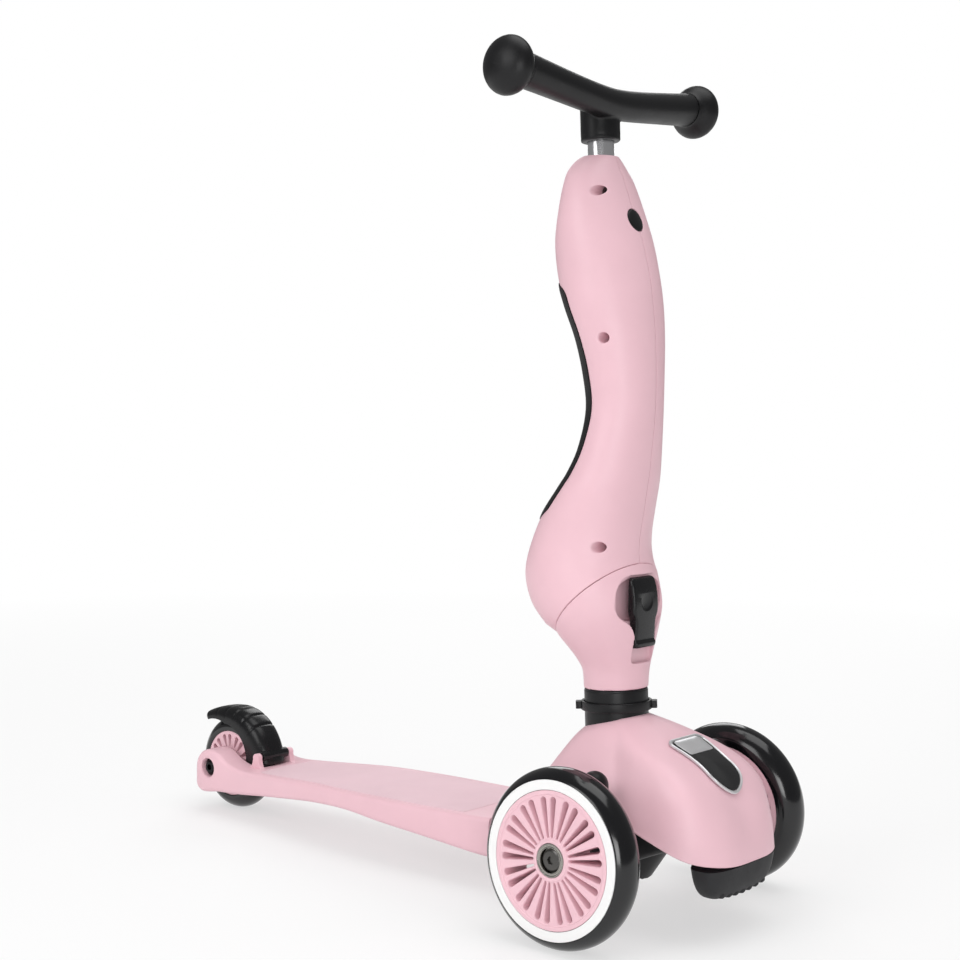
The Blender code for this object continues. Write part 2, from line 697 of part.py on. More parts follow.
def add_front_wheel(name, sign, spin, truck, finishes):
    """Tyre, hub, trim ring and bearings on the wheel body; spacer and bolt on the truck."""
    centre = front_centre(sign)
    out = front_axle_out(sign)
    face = front_face()
    trim_floor = face - TRIM_T
    bore = FRONT_HUB_R + GAP
    profile = tyre_profile(FRONT_R, FRONT_HALF_W, bore, TRIM_OUTER_R + GAP, trim_floor - GAP)
    add_piece(f"{name}_tyre", turned(profile, centre, out), finishes["tyre"], spin)
    trim = tube(centre, out, bore, TRIM_OUTER_R, trim_floor, face)
    add_piece(f"{name}_trim_ring", trim, finishes["white"], spin)

    outer_seat = face - BEARING_RECESS - BEARING_W
    inner_seat = -face + INNER_BEARING_RECESS + BEARING_W
    hub_profile = [
        (FRONT_HUB_R, -face), (FRONT_HUB_R, face), (BEARING_R + GAP, face),
        (BEARING_R + GAP, outer_seat - GAP), (SHOULDER_R, outer_seat - GAP),
        (SHOULDER_R, inner_seat + GAP), (BEARING_R + GAP, inner_seat + GAP),
        (BEARING_R + GAP, -face),
    ]
    hub = add_piece(f"{name}_hub", turned(hub_profile, centre, out), finishes["pink"], spin)
    cut(hub, "slots", *wheel_slots(centre, out, FRONT_SLOT_PAIRS, FRONT_HUB_R - SLOT_RIM))

    shield = outer_seat + BEARING_W
    cup = shield - BEARING_CUP
    bearing_profile = [
        (BEARING_BORE_R, outer_seat), (BEARING_R, outer_seat), (BEARING_R, shield),
        (BEARING_CUP_R, shield), (BEARING_CUP_R, cup), (BEARING_BORE_R, cup),
    ]
    bearing = turned(bearing_profile, centre, out)
    add_piece(f"{name}_bearing_outer", bearing, finishes["bearing"], spin)
    bearing = tube(centre, out, BEARING_BORE_R, BEARING_R, inner_seat - BEARING_W, inner_seat)
    add_piece(f"{name}_bearing_inner", bearing, finishes["bearing"], spin)
    spacer = tube(centre, out, BEARING_BORE_R, SPACER_R, inner_seat + GAP, outer_seat - GAP)
    add_piece(f"{name}_spacer", spacer, finishes["steel"], truck)

    head = front_bolt_head()
    bolt_profile = [
        (0.0, head - AXLE_BOLT_L), (AXLE_R, head - AXLE_BOLT_L), (AXLE_R, head),
        (AXLE_HEAD_R, head), (AXLE_HEAD_R, head + AXLE_HEAD_H * AXLE_HEAD_EDGE),
        (AXLE_HEAD_R * AXLE_HEAD_FACE, head + AXLE_HEAD_H), (0.0, head + AXLE_HEAD_H),
    ]
    bolt = add_piece(f"{name}_axle_bolt", turned(bolt_profile, centre, out),
                     finishes["steel"], truck)
    cut(bolt, "socket", hex_prism(centre, out, HEX_SOCKET_R,
                                head + AXLE_HEAD_H * HEX_SOCKET_FLOOR, LONG))


def add_truck(truck, chassis, finishes):
    """The bridge that carries both front axles, turning on the leaning kingpin."""
    foot = KINGPIN_FOOT
    up = KINGPIN_UP
    half_web = POT_WEB / 2
    arms = []
    for x, front, back, low, high in BRIDGE_STATIONS:
        outline = rounded_box_outline(front * MM, back * MM, low * MM, high * MM, BRIDGE_EDGE_R)
        arms.append([Vector((x * MM, y, z)) for y, z in outline])
    mirrored = [[Vector((-point.x, point.y, point.z)) for point in arm] for arm in arms]
    piece = add_piece("truck_bridge", bridge(arms[::-1] + mirrored), finishes["black"], truck)
    cut(piece, "boss_space", cylinder(foot, up, POT_R * POT_CLEARING, half_web - GAP, LONG))
    join(piece, "pot", cylinder(foot, up, POT_R, -POT_DROP, half_web))
    end = front_boss_face()
    shoulder = end - AXLE_BOSS_STEP
    bolt_end = front_bolt_head() - AXLE_BOLT_L - GAP
    for sign, side in SIDES:
        centre = front_centre(sign)
        out = front_axle_out(sign)
        boss = [(0.0, end - AXLE_BOSS_L), (AXLE_BOSS_R, end - AXLE_BOSS_L),
                (AXLE_BOSS_R, shoulder), (BOSS_R, shoulder), (BOSS_R, end), (0.0, end)]
        join(piece, f"axle_boss_{side}", turned(boss, centre, out))
        dome = arc((0.0, TOWER_TOP - TOWER_R), TOWER_R, 0, 75, 4)
        tower = [(0.0, FRONT_AXLE_Z), (TOWER_R, FRONT_AXLE_Z), *dome, (0.0, TOWER_TOP)]
        tower_foot = Vector((sign * TOWER_X, TOWER_Y, 0.0))
        join(piece, f"tower_{side}", turned(tower, tower_foot, Z))
        cut(piece, f"bolt_hole_{side}", cylinder(centre, out, AXLE_R + RUNNING, bolt_end, LONG))
    pocket = cylinder(foot, up, BUSH_R + BUSH_PLAY, -LONG, -half_web)
    cut(piece, "pocket", pocket)
    cut(piece, "kingpin_hole", cylinder(foot, up, KINGPIN_R + RUNNING, -LONG, LONG))

    upper_low = half_web + GAP
    upper = tube(foot, up, KINGPIN_R + RUNNING, BUSH_R, upper_low, upper_low + BUSH_H)
    add_piece("bush_upper", upper, finishes["bush"], chassis)
    lower_high = -half_web - GAP
    lower = tube(foot, up, KINGPIN_R + RUNNING, BUSH_R, lower_high - BUSH_H, lower_high)
    add_piece("bush_lower", lower, finishes["bush"], chassis)
    washer_high = lower_high - BUSH_H - GAP
    washer = tube(foot, up, KINGPIN_R + RUNNING, WASHER_R, washer_high - WASHER_T, washer_high)
    add_piece("kingpin_washer", washer, finishes["steel"], chassis)
    head = washer_high - WASHER_T - GAP
    hexagon_head = hex_prism(foot, up, KINGPIN_HEAD_R, head - KINGPIN_HEAD_H, head)
    bolt = add_piece("kingpin_bolt", hexagon_head, finishes["steel"], chassis)
    nut_low = KINGPIN_BOSS_TOP + GAP
    nut_top = nut_low + KINGPIN_NUT_H
    join(bolt, "shank", cylinder(foot, up, KINGPIN_R, head - KINGPIN_HEAD_H / 2,
                                 nut_top + KINGPIN_R / 2))
    nut = add_piece("kingpin_nut", hex_prism(foot, up, KINGPIN_HEAD_R, nut_low, nut_top),
                    finishes["steel"], chassis)
    cut(nut, "bore", cylinder(foot, up, KINGPIN_R + RUNNING, 0.0, LONG))


def rounded_box_outline(front, back, low, high, radius, steps=2):
    """A rectangle with round corners, as points in two directions."""
    points = []
    corners = ((back - radius, high - radius, 0), (front + radius, high - radius, 90),
               (front + radius, low + radius, 180), (back - radius, low + radius, 270))
    for u, v, start in corners:
        points += arc((u, v), radius, start, start + 90, steps)
    return points


def deck_rows():
    """Sections from front to back: distance back, half width, top, underside."""
    rows = []
    for share, half_width, top, low in DECK_STATIONS:
        rows.append((DECK_FRONT + (WHEELBASE - DECK_FRONT) * share, half_width * MM, top * MM,
                     low * MM))
    for back, half_width, above, below in ARM_STATIONS:
        rows.append((WHEELBASE + back * MM, half_width * MM, REAR_R + above * MM,
                     REAR_R - below * MM))
    return rows


def deck_section(y):
    """Half width and top of the deck at a distance back."""
    rows = deck_rows()
    for start, end in zip(rows, rows[1:]):
        if y <= end[0]:
            share = (y - start[0]) / (end[0] - start[0])
            return start[1] + (end[1] - start[1]) * share, start[2] + (end[2] - start[2]) * share
    return rows[-1][1], rows[-1][2]


def add_deck(chassis, finishes):
    rings = []
    for y, half_width, top, low in deck_rows():
        radius = min(DECK_EDGE_R, (top - low) * 0.45)
        rings.append([Vector((u, y, v)) for u, v in
                      rounded_box_outline(-half_width, half_width, low, top, radius, 3)])
    deck = add_piece("deck", bridge(rings), finishes["pink"], chassis)
    riser = [(y * MM, z * MM) for y, z in RISER_OUTLINE]
    join(deck, "riser", side_prism(riser, RISER_HALF_W))
    plate_low = PLATE_TOP - PLATE_T
    plate = rounded_box_outline(PLATE_FRONT, PLATE_BACK, plate_low, PLATE_TOP, PLATE_EDGE_R)
    join(deck, "plate", side_prism(plate, PLATE_HALF_W))
    boss_low = POT_WEB / 2 + GAP + BUSH_H + GAP
    top = KINGPIN_BOSS_TOP
    join(deck, "kingpin_boss", cylinder(KINGPIN_FOOT, KINGPIN_UP, KINGPIN_BOSS_R, boss_low,
                                        top + KINGPIN_BOSS_RIM))
    foot = Vector((0.0, COLUMN_GROUND_Y, 0.0))
    join(deck, "column_boss", cylinder(foot, COLUMN_UP, COLUMN_BOSS_R, along_column(COLUMN_BOSS_LOW),
                                       along_column(PLATE_TOP) - PLATE_EDGE_R))
    cut(deck, "kingpin_hole", cylinder(KINGPIN_FOOT, KINGPIN_UP, KINGPIN_R + RUNNING, 0.0, LONG))
    cut(deck, "nut_seat", cylinder(KINGPIN_FOOT, KINGPIN_UP, KINGPIN_HEAD_R * NUT_ROOM, top, LONG))
    socket_low = along_column(POST_BOTTOM) - GAP
    seat = collar_low() - GAP
    socket = [(0.0, socket_low), (POST_R + GAP, socket_low), (POST_R + GAP, seat),
              (COLLAR_R + GAP, seat), (COLLAR_R + GAP, LONG), (0.0, LONG)]
    cut(deck, "post_socket", turned(socket, foot, COLUMN_UP))
    cut(deck, "column_bolt_hole", cylinder(foot, COLUMN_UP, COLUMN_BOLT_R + RUNNING, 0.0,
                                           along_column(POST_TOP)))

    front = WHEELBASE - REAR_R - WELL_GAP
    cut(deck, "wheel_well", box((-WELL_HALF_W, front, -LONG), (WELL_HALF_W, front + LONG, LONG)))
    pin = brake_pin_place()
    ear = arc((pin.y, pin.z), BRAKE_EAR_R, 0, 180, 8)
    ear += [(pin.y - BRAKE_EAR_R, pin.z - BRAKE_EAR_DROP),
            (pin.y + BRAKE_EAR_R, pin.z - BRAKE_EAR_DROP)]
    for sign, side in SIDES:
        boss = cylinder(REAR_AXLE, X * sign, BOSS_R, REAR_BEARING_OUT + GAP,
                        WELL_HALF_W + BOSS_R / 2)
        join(deck, f"rear_boss_{side}", boss)
        recess = cylinder(REAR_AXLE, X * sign, REAR_HEAD_R + RUNNING, REAR_BOLT_SEAT, LONG)
        cut(deck, f"rear_bolt_recess_{side}", recess)
        ear_middle = X * sign * (BRAKE_HALF_W + GAP + BRAKE_EAR_T / 2)
        join(deck, f"brake_ear_{side}", prism(ear, ear_middle, Y, Z, -BRAKE_EAR_T / 2,
                                              BRAKE_EAR_T / 2))
    cut(deck, "rear_axle_hole", cylinder(REAR_AXLE, X, AXLE_R + RUNNING, -LONG, LONG))
    pin_half = brake_pin_half()
    cut(deck, "brake_pin_hole", cylinder(pin, X, BRAKE_PIN_R + RUNNING, -pin_half - GAP,
                                         pin_half + GAP))
    cut(deck, "under_pockets", *deck_pockets())


def deck_pockets():
    """Hollows between the ribs under the deck, left and right of a middle rib."""
    shapes = []
    length = WHEELBASE - DECK_POCKET_END - DECK_POCKET_FRONT
    pitch = (length + DECK_RIB) / DECK_POCKET_ROWS
    for row in range(DECK_POCKET_ROWS):
        front = DECK_POCKET_FRONT + pitch * row
        back = front + pitch - DECK_RIB
        for sign in (-1, 1):
            roof = []
            for y, at_rib in ((front, True), (front, False), (back, False), (back, True)):
                half_width, top = deck_section(y)
                x = DECK_RIB / 2 if at_rib else half_width - DECK_WALL
                roof.append(Vector((sign * x, y, top - DECK_SKIN)))
            floor = [Vector((point.x, point.y, 0.0)) for point in roof]
            shapes.append(bridge([floor, roof]))
    return shapes


def brake_pin_place():
    return brake_point(BRAKE_PIN_ANGLE, BRAKE_PIN_ORBIT)


def brake_pin_half():
    """Half the length of the brake's pin; it ends inside both ears."""
    return BRAKE_HALF_W + GAP + BRAKE_EAR_T * BRAKE_PIN_REACH


def add_rear_wheel(spin, chassis, finishes):
    bore = REAR_HUB_R + GAP
    profile = tyre_profile(REAR_R, REAR_HALF_W, bore)
    add_piece("rear_tyre", turned(profile, REAR_AXLE, X), finishes["tyre"], spin)
    seat = REAR_BEARING_OUT - BEARING_W
    half = REAR_HALF_W * TYRE_BEAD
    hub_profile = [
        (REAR_HUB_R, -half), (REAR_HUB_R, half), (BEARING_R + GAP, half),
        (BEARING_R + GAP, seat - GAP), (SHOULDER_R, seat - GAP), (SHOULDER_R, GAP - seat),
        (BEARING_R + GAP, GAP - seat), (BEARING_R + GAP, -half),
    ]
    hub = add_piece("rear_hub", turned(hub_profile, REAR_AXLE, X), finishes["pink"], spin)
    cut(hub, "slots", *wheel_slots(REAR_AXLE, X, REAR_SLOT_PAIRS, REAR_HUB_R - REAR_SLOT_RIM))
    for sign, side in SIDES:
        bearing = tube(REAR_AXLE, X * sign, BEARING_BORE_R, BEARING_R, seat, REAR_BEARING_OUT)
        add_piece(f"rear_bearing_{side}", bearing, finishes["bearing"], spin)
    spacer = tube(REAR_AXLE, X, BEARING_BORE_R, SPACER_R, GAP - seat, seat - GAP)
    add_piece("rear_spacer", spacer, finishes["steel"], chassis)

    head = REAR_BOLT_SEAT + GAP
    bolt_profile = [
        (0.0, -head - REAR_HEAD_H), (AXLE_R, -head - REAR_HEAD_H), (AXLE_R, head),
        (REAR_HEAD_R, head), (REAR_HEAD_R, head + REAR_HEAD_H), (0.0, head + REAR_HEAD_H),
    ]
    bolt = add_piece("rear_axle_bolt", turned(bolt_profile, REAR_AXLE, -X),
                     finishes["steel"], chassis)
    cut(bolt, "socket", hex_prism(REAR_AXLE, -X, HEX_SOCKET_R,
                                head + REAR_HEAD_H * HEX_SOCKET_FLOOR, LONG))
    nut = add_piece("rear_axle_nut", hex_prism(REAR_AXLE, X, REAR_HEAD_R, head,
                                               head + REAR_HEAD_H), finishes["steel"], chassis)
    cut(nut, "bore", cylinder(REAR_AXLE, X, AXLE_R + RUNNING, 0.0, LONG))


def brake_point(angle, radius, x=0.0):
    """A point round the rear axle, the angle counted forwards from straight up."""
    return REAR_AXLE + Vector((x, -math.sin(angle) * radius, math.cos(angle) * radius))


def add_brake(brake, chassis, finishes):
    """A fender over the rear wheel that the heel presses onto the tyre."""
    rings = []
    inner_half = BRAKE_HALF_W - BRAKE_SKIRT_T
    inner_r = BRAKE_R - BRAKE_T
    for step in range(BRAKE_STEPS + 1):
        angle = BRAKE_TAIL + (BRAKE_TOE - BRAKE_TAIL) * step / BRAKE_STEPS
        if angle > 0:
            skirt = BRAKE_SKIRT_R + (BRAKE_TOE_SKIRT_R - BRAKE_SKIRT_R) * angle / BRAKE_TOE
        else:
            skirt = BRAKE_SKIRT_R + (BRAKE_TAIL_SKIRT_R - BRAKE_SKIRT_R) * ease(angle / BRAKE_TAIL)
        section = [
            (BRAKE_HALF_W, skirt), (BRAKE_HALF_W, BRAKE_R - BRAKE_EDGE),
            (BRAKE_HALF_W - BRAKE_EDGE, BRAKE_R), (BRAKE_EDGE - BRAKE_HALF_W, BRAKE_R),
            (-BRAKE_HALF_W, BRAKE_R - BRAKE_EDGE), (-BRAKE_HALF_W, skirt),
            (-inner_half, skirt), (-inner_half, inner_r), (inner_half, inner_r),
            (inner_half, skirt),
        ]
        rings.append([brake_point(angle, radius, x) for x, radius in section])
    fender = add_piece("brake_fender", bridge(rings), finishes["black"], brake)
    pin = brake_pin_place()
    barrel_half = BRAKE_HALF_W - BRAKE_SKIRT_T / 2
    join(fender, "barrel", cylinder(pin, X, BRAKE_BARREL_R, -barrel_half, barrel_half))
    notch = BRAKE_SPRING_HALF_W + GAP
    radius = BRAKE_SPRING_R + GAP
    cut(fender, "spring_space", cylinder(pin, X, radius, -notch, notch))
    cut(fender, "spring_mouth", box((-notch, pin.y - radius, pin.z - LONG),
                                    (notch, pin.y + radius, pin.z)))
    cut(fender, "pin_hole", cylinder(pin, X, BRAKE_PIN_R + RUNNING, -LONG, LONG))
    pin_half = brake_pin_half()
    add_piece("brake_pin", cylinder(pin, X, BRAKE_PIN_R, -pin_half, pin_half),
              finishes["steel"], chassis)
    spring = tube(pin, X, BRAKE_PIN_R + RUNNING, BRAKE_SPRING_R, -BRAKE_SPRING_HALF_W,
                  BRAKE_SPRING_HALF_W)
    add_piece("brake_spring", spring, finishes["steel"], chassis)


def hood_profile(angle):
    """Distance out and height of six points of the hood's outer face at an angle from ahead."""
    turn = abs(math.degrees(math.remainder(angle, 2 * math.pi)))
    rows = [HOOD_PROFILES[1], *HOOD_PROFILES, HOOD_PROFILES[-2]]
    place = 1
    while turn > HOOD_PROFILES[place][0]:
        place += 1
    low, high = HOOD_PROFILES[place - 1][0], HOOD_PROFILES[place][0]
    row = smooth_row(rows, place + (turn - low) / (high - low))[1:]
    ahead = HOOD_NECK_R * math.cos(angle)
    points = [(HOOD_NECK_R, HOOD_NECK_Z + math.tan(HOOD_NECK_TILT) * ahead)]
    for out, height in zip(row[::2], row[1::2]):
        points.append((out * MM, height * MM))
    return points


def hood_point(angle, share):
    """A point of the hood's outer face: share 0 inside the column's hole, 1 at the foot."""
    profile = hood_profile(angle)
    out, height = smooth_row(profile, share * (len(profile) - 1))
    return Vector((math.sin(angle) * out, HOOD_CENTRE_Y - math.cos(angle) * out, height))


def hood_over(x, y):
    """The point of the hood's outer face straight above x and y."""
    angle = math.atan2(x, HOOD_CENTRE_Y - y)
    goal = math.hypot(x, HOOD_CENTRE_Y - y)
    low, high = 0.0, 1.0
    for _ in range(30):
        middle = (low + high) / 2
        point = hood_point(angle, middle)
        if math.hypot(point.x, point.y - HOOD_CENTRE_Y) < goal:
            low = middle
        else:
            high = middle
    return hood_point(angle, high)


def hood_normal(x, y):
    step = 0.5 * MM
    along_x = hood_over(x + step, y) - hood_over(x - step, y)
    along_y = hood_over(x, y + step) - hood_over(x, y - step)
    return along_x.cross(along_y).normalized()


def add_hood(chassis, finishes):
    rings = []
    for step in range(HOOD_STEPS + 1):
        rings.append([hood_point(2 * math.pi * n / HOOD_POINTS, step / HOOD_STEPS)
                      for n in range(HOOD_POINTS)])
    corners, faces = bridge(rings)
    hood = add_piece("hood", (corners, faces[:-2]), finishes["pink"], chassis)
    wall = hood.modifiers.new("wall", "SOLIDIFY")
    wall.thickness = HOOD_WALL
    wall.offset = -1
    wall.use_even_offset = True
    foot = Vector((0.0, COLUMN_GROUND_Y, 0.0))
    cut(hood, "collar_hole", cylinder(foot, COLUMN_UP, COLLAR_R + GAP, along_column(PLATE_TOP),
                                      LONG))


def squarish(angle, power):
    """A point of a rounded square in shares of its half sizes. A power of 1 gives a circle."""
    u = math.copysign(abs(math.cos(angle)) ** power, math.cos(angle))
    v = math.copysign(abs(math.sin(angle)) ** power, math.sin(angle))
    return u, v


def add_badge(chassis, finishes):
    """A bare plate that follows the hood's crown."""
    middle = (BADGE_BACK + BADGE_FRONT) / 2
    half = (BADGE_BACK - BADGE_FRONT) / 2
    outline = []
    for step in range(BADGE_POINTS):
        angle = 2 * math.pi * (step + 0.5) / BADGE_POINTS
        outline.append(squarish(angle, BADGE_SQUARE if math.sin(angle) > 0 else 1.0))
    rings = []
    for lift, shares in ((BADGE_LIFT, (0.2, 0.6, 1.0)), (BADGE_LIFT + BADGE_T, (1.0, 0.6, 0.2))):
        for share in shares:
            ring = []
            for u, v in outline:
                x = u * share * BADGE_HALF_W
                y = middle + v * share * half
                ring.append(hood_over(x, y) + hood_normal(x, y) * lift)
            rings.append(ring)
    add_piece("badge", bridge(rings), finishes["badge"], chassis)


def add_bumper(chassis, finishes):
    """A soft pad under the nose, hung from the deck's front plate."""
    rings = []
    for height, half_width, front, back in BUMPER_STATIONS:
        ring = []
        for n in range(BUMPER_POINTS):
            u, v = squarish(2 * math.pi * (n + 0.5) / BUMPER_POINTS, BUMPER_SQUARE)
            y = (front + back) / 2 + v * (back - front) / 2
            ring.append(Vector((u * half_width, y, height)) * MM)
        rings.append(ring)
    add_piece("nose_bumper", bridge(rings), finishes["rubber"], chassis)


def collar_low():
    """Foot of the collar along the column, let into the plate a little."""
    return along_column(PLATE_TOP) - COLLAR_SINK


def add_post(chassis, finishes):
    foot = Vector((0.0, COLUMN_GROUND_Y, 0.0))
    low = along_column(POST_BOTTOM)
    top = along_column(POST_TOP)
    hollow = POST_R - POST_WALL
    profile = [
        (POST_R, low), (POST_R, top), (hollow, top), (hollow, low + POST_FOOT_T),
        (COLUMN_BOLT_R + RUNNING, low + POST_FOOT_T), (COLUMN_BOLT_R + RUNNING, low),
    ]
    add_piece("column_post", turned(profile, foot, COLUMN_UP), finishes["steel"], chassis)
    head = along_column(COLUMN_BOSS_LOW) - GAP
    bolt_profile = [
        (0.0, head - COLUMN_HEAD_H), (COLUMN_HEAD_R, head - COLUMN_HEAD_H), (COLUMN_HEAD_R, head),
        (COLUMN_BOLT_R, head), (COLUMN_BOLT_R, low + POST_FOOT_T), (0.0, low + POST_FOOT_T),
    ]
    add_piece("column_bolt", turned(bolt_profile, foot, COLUMN_UP), finishes["steel"], chassis)
    sleeve = tube(foot, COLUMN_UP, POST_R + GAP, COLLAR_R, collar_low(), along_column(COLLAR_TOP))
    add_piece("collar_sleeve", sleeve, finishes["black"], chassis)
    clip_low = along_column(CLIP_Z) - CLIP_H / 2
    clip_high = clip_low + CLIP_H
    ring = tube(foot, COLUMN_UP, COLLAR_R + GAP, CLIP_R, clip_low, clip_high)
    clip = add_piece("collar_clip", ring, finishes["black"], chassis)
    inner = (COLLAR_R + CLIP_R) / 2
    outer = CLIP_R + CLIP_LUG_OUT
    outline = [(inner, -CLIP_LUG_HALF_W), (outer, -CLIP_LUG_HALF_W),
               (outer, CLIP_LUG_HALF_W), (inner, CLIP_LUG_HALF_W)]
    for name, angle in (("lug", CLIP_LUG_ANGLE), ("tab", CLIP_TAB_ANGLE)):
        spoke = X * math.sin(angle) + COLUMN_FRONT * math.cos(angle)
        join(clip, name, prism(outline, foot, spoke, COLUMN_UP.cross(spoke),
                               clip_low + CLIP_LUG_INSET, clip_high - CLIP_LUG_INSET))


def section_ring(row, inset=0.0, rear_inset=None, count=None):
    """An oval through a front point and a rear point, with a half width across."""
    front_y, front_z, rear_y, rear_z, half_width = row
    front = Vector((0.0, front_y, front_z)) * MM
    rear = Vector((0.0, rear_y, rear_z)) * MM
    along = (rear - front).normalized()
    front = front + along * inset
    rear = rear - along * (inset if rear_inset is None else rear_inset)
    middle = (front + rear) / 2
    half = (rear - front) / 2
    count = count or COLUMN_POINTS
    ring = []
    for n in range(count):
        angle = 2 * math.pi * n / count
        ring.append(middle + half * math.cos(angle) + X * (half_width * MM - inset) * math.sin(angle))
    return ring


def fold_ring(height, inset=0.0, count=None):
    """The oval joint face, moved along the pivot."""
    middle = FOLD_CENTRE + FOLD_UP * height
    count = count or COLUMN_POINTS
    ring = []
    for n in range(count):
        angle = 2 * math.pi * n / count
        ring.append(middle - FOLD_FRONT * (FOLD_HALF_D - inset) * math.cos(angle)
                    + X * (FOLD_HALF_W - inset) * math.sin(angle))
    return ring


def add_neck(chassis, finishes):
    rings = [section_ring(row) for row in smooth_rows(NECK_STATIONS, 2)]
    rings.append(fold_ring(-GAP / 2))
    neck = add_piece("neck_shell", bridge(rings), finishes["pink"], chassis)
    foot = Vector((0.0, COLUMN_GROUND_Y, 0.0))
    top = along_column(POST_TOP)
    bore = [(0.0, 0.0), (POST_R + GAP, 0.0), (POST_R + GAP, top + GAP),
            (NECK_HOLLOW_R, top + GAP), (NECK_HOLLOW_R, top + NECK_HOLLOW_H),
            (0.0, top + NECK_HOLLOW_H)]
    cut(neck, "post_bore", turned(bore, foot, COLUMN_UP))
    cut(neck, "foot_face", cylinder(foot, COLUMN_UP, FOLD_HALF_W, 0.0, along_column(COLLAR_TOP) + GAP))
    roof = -GAP / 2 - FOLD_FLOOR
    cut(neck, "nut_space", cylinder(FOLD_CENTRE, FOLD_UP, PIVOT_SPACE_R, roof - PIVOT_SPACE_H,
                                    roof))
    cut(neck, "pivot_hole", cylinder(FOLD_CENTRE, FOLD_UP, PIVOT_R + RUNNING,
                                     roof - PIVOT_SPACE_H / 2, LONG))
    pocket = front_prism(mirrored_outline(LATCH_POCKET), -LONG, LATCH_FLOOR)
    cut(neck, "latch_pocket", pocket)
    cut(neck, "latch_wings", front_prism(mirrored_outline(LATCH_WINGS), -LONG, LATCH_WING_FLOOR))
    cut(neck, "spring_recess", box(
        (LATCH_SPRING_X - LATCH_SPRING_R - GAP, 0.0, LATCH_SPRING_LOW),
        (LATCH_SPRING_X + LATCH_SPRING_R + GAP, LATCH_FLOOR + LATCH_SPRING_R * 2 + GAP * 2,
         LATCH_TAB_LOW + LATCH_TAB_H + GAP)))


def mirrored_outline(half):
    """A closed outline in metres from its one half, listed upwards in mm."""
    return ([(u * MM, v * MM) for u, v in half]
            + [(-u * MM, v * MM) for u, v in reversed(half)])


def front_prism(outline, front, back):
    """An outline seen from the front, stretched from one y to another."""
    return prism(outline, Vector(), -X, Z, front, back)


def add_latch(latch, chassis, finishes):
    """A slide in the neck's front, pulled down against a spring hidden behind it."""
    back = LATCH_FLOOR - GAP
    face = back - LATCH_T
    body = front_prism(mirrored_outline(LATCH_OUTLINE), face, back)
    piece = add_piece("release_latch", body, finishes["black"], latch)
    half_width, low = LATCH_OUTLINE[0]
    lip = rounded_box_outline(face - LATCH_LIP, face + LATCH_LIP, low * MM, low * MM + LATCH_LIP_H,
                              LATCH_LIP_ROUND)
    join(piece, "lip", side_prism(lip, half_width * MM))
    disc = Vector((0.0, 0.0, LATCH_DISC_Z))
    join(piece, "disc", cylinder(disc, Y, LATCH_DISC_R, face - LATCH_DISC_H, face + LATCH_LIP))
    tab = box((LATCH_SPRING_X - LATCH_SPRING_R, back - LATCH_LIP, LATCH_TAB_LOW),
              (LATCH_SPRING_X + LATCH_SPRING_R, LATCH_FLOOR + LATCH_SPRING_R * 2,
               LATCH_TAB_LOW + LATCH_TAB_H))
    join(piece, "tab", tab)
    spring_foot = Vector((LATCH_SPRING_X, LATCH_FLOOR + GAP + LATCH_SPRING_R, 0.0))
    spring = tube(spring_foot, Z, LATCH_SPRING_BORE_R, LATCH_SPRING_R, LATCH_SPRING_LOW + GAP,
                  LATCH_TAB_LOW - LATCH_TRAVEL - GAP)
    add_piece("latch_spring", spring, finishes["steel"], chassis)


def column_row_at(height):
    """The seat column's section whose rear point is at a height in mm."""
    low, high = 0.0, float(len(COLUMN_STATIONS) - 1)
    for _ in range(40):
        middle = (low + high) / 2
        if smooth_row(COLUMN_STATIONS, middle)[3] < height:
            low = middle
        else:
            high = middle
    return smooth_row(COLUMN_STATIONS, high)


def seat_pad_shape(grow, proud, depth):
    """A shallow shell on the rear of the column, with round ends. Grow widens its outline."""
    rings = []
    for step in range(PAD_SEAT_STEPS + 1):
        share = (1 - math.cos(math.pi * step / PAD_SEAT_STEPS)) / 2
        height = PAD_SEAT_LOW + (PAD_SEAT_HIGH - PAD_SEAT_LOW) * share
        to_end = min(height - PAD_SEAT_LOW, PAD_SEAT_HIGH - height)
        rounding = max(0.0, 1 - to_end / PAD_SEAT_ROUND)
        wide = PAD_SEAT_HALF_W * max(math.sqrt(1 - rounding ** 2), PAD_SEAT_TIP) + grow
        if step == 0:
            height -= grow
        elif step == PAD_SEAT_STEPS:
            height += grow
        row = column_row_at(height / MM)
        share = min(wide / (row[4] * MM), 0.999)
        reach = min(math.asin(share), PAD_SEAT_WRAP + grow / (row[4] * MM))
        ring = []
        for offset, order in ((proud, 1), (-depth, -1)):
            for n in range(PAD_SEAT_POINTS + 1):
                angle = order * reach * (2 * n / PAD_SEAT_POINTS - 1)
                ring.append(column_skin(row, angle, offset))
        rings.append(ring)
    return bridge(rings)


def column_skin(row, angle, offset):
    """A point of a column section, the angle counted from its rear, moved square to the skin."""
    front = Vector((0.0, row[0], row[1])) * MM
    rear = Vector((0.0, row[2], row[3])) * MM
    half = (rear - front) / 2
    depth = half.length
    along = half / depth
    half_width = row[4] * MM
    point = (front + rear) / 2 + half * math.cos(angle) + X * half_width * math.sin(angle)
    square = along * math.cos(angle) / depth + X * math.sin(angle) / half_width
    return point + square.normalized() * offset


def half_ring(ring, sign):
    """The left or right half of a ring that starts at the middle, closed just beside it."""
    count = len(ring)
    half = [ring[sign * n % count] for n in range(count // 2 + 1)]
    half[0] = half[0] + X * sign * GAP / 2
    half[-1] = half[-1] + X * sign * GAP / 2
    return half


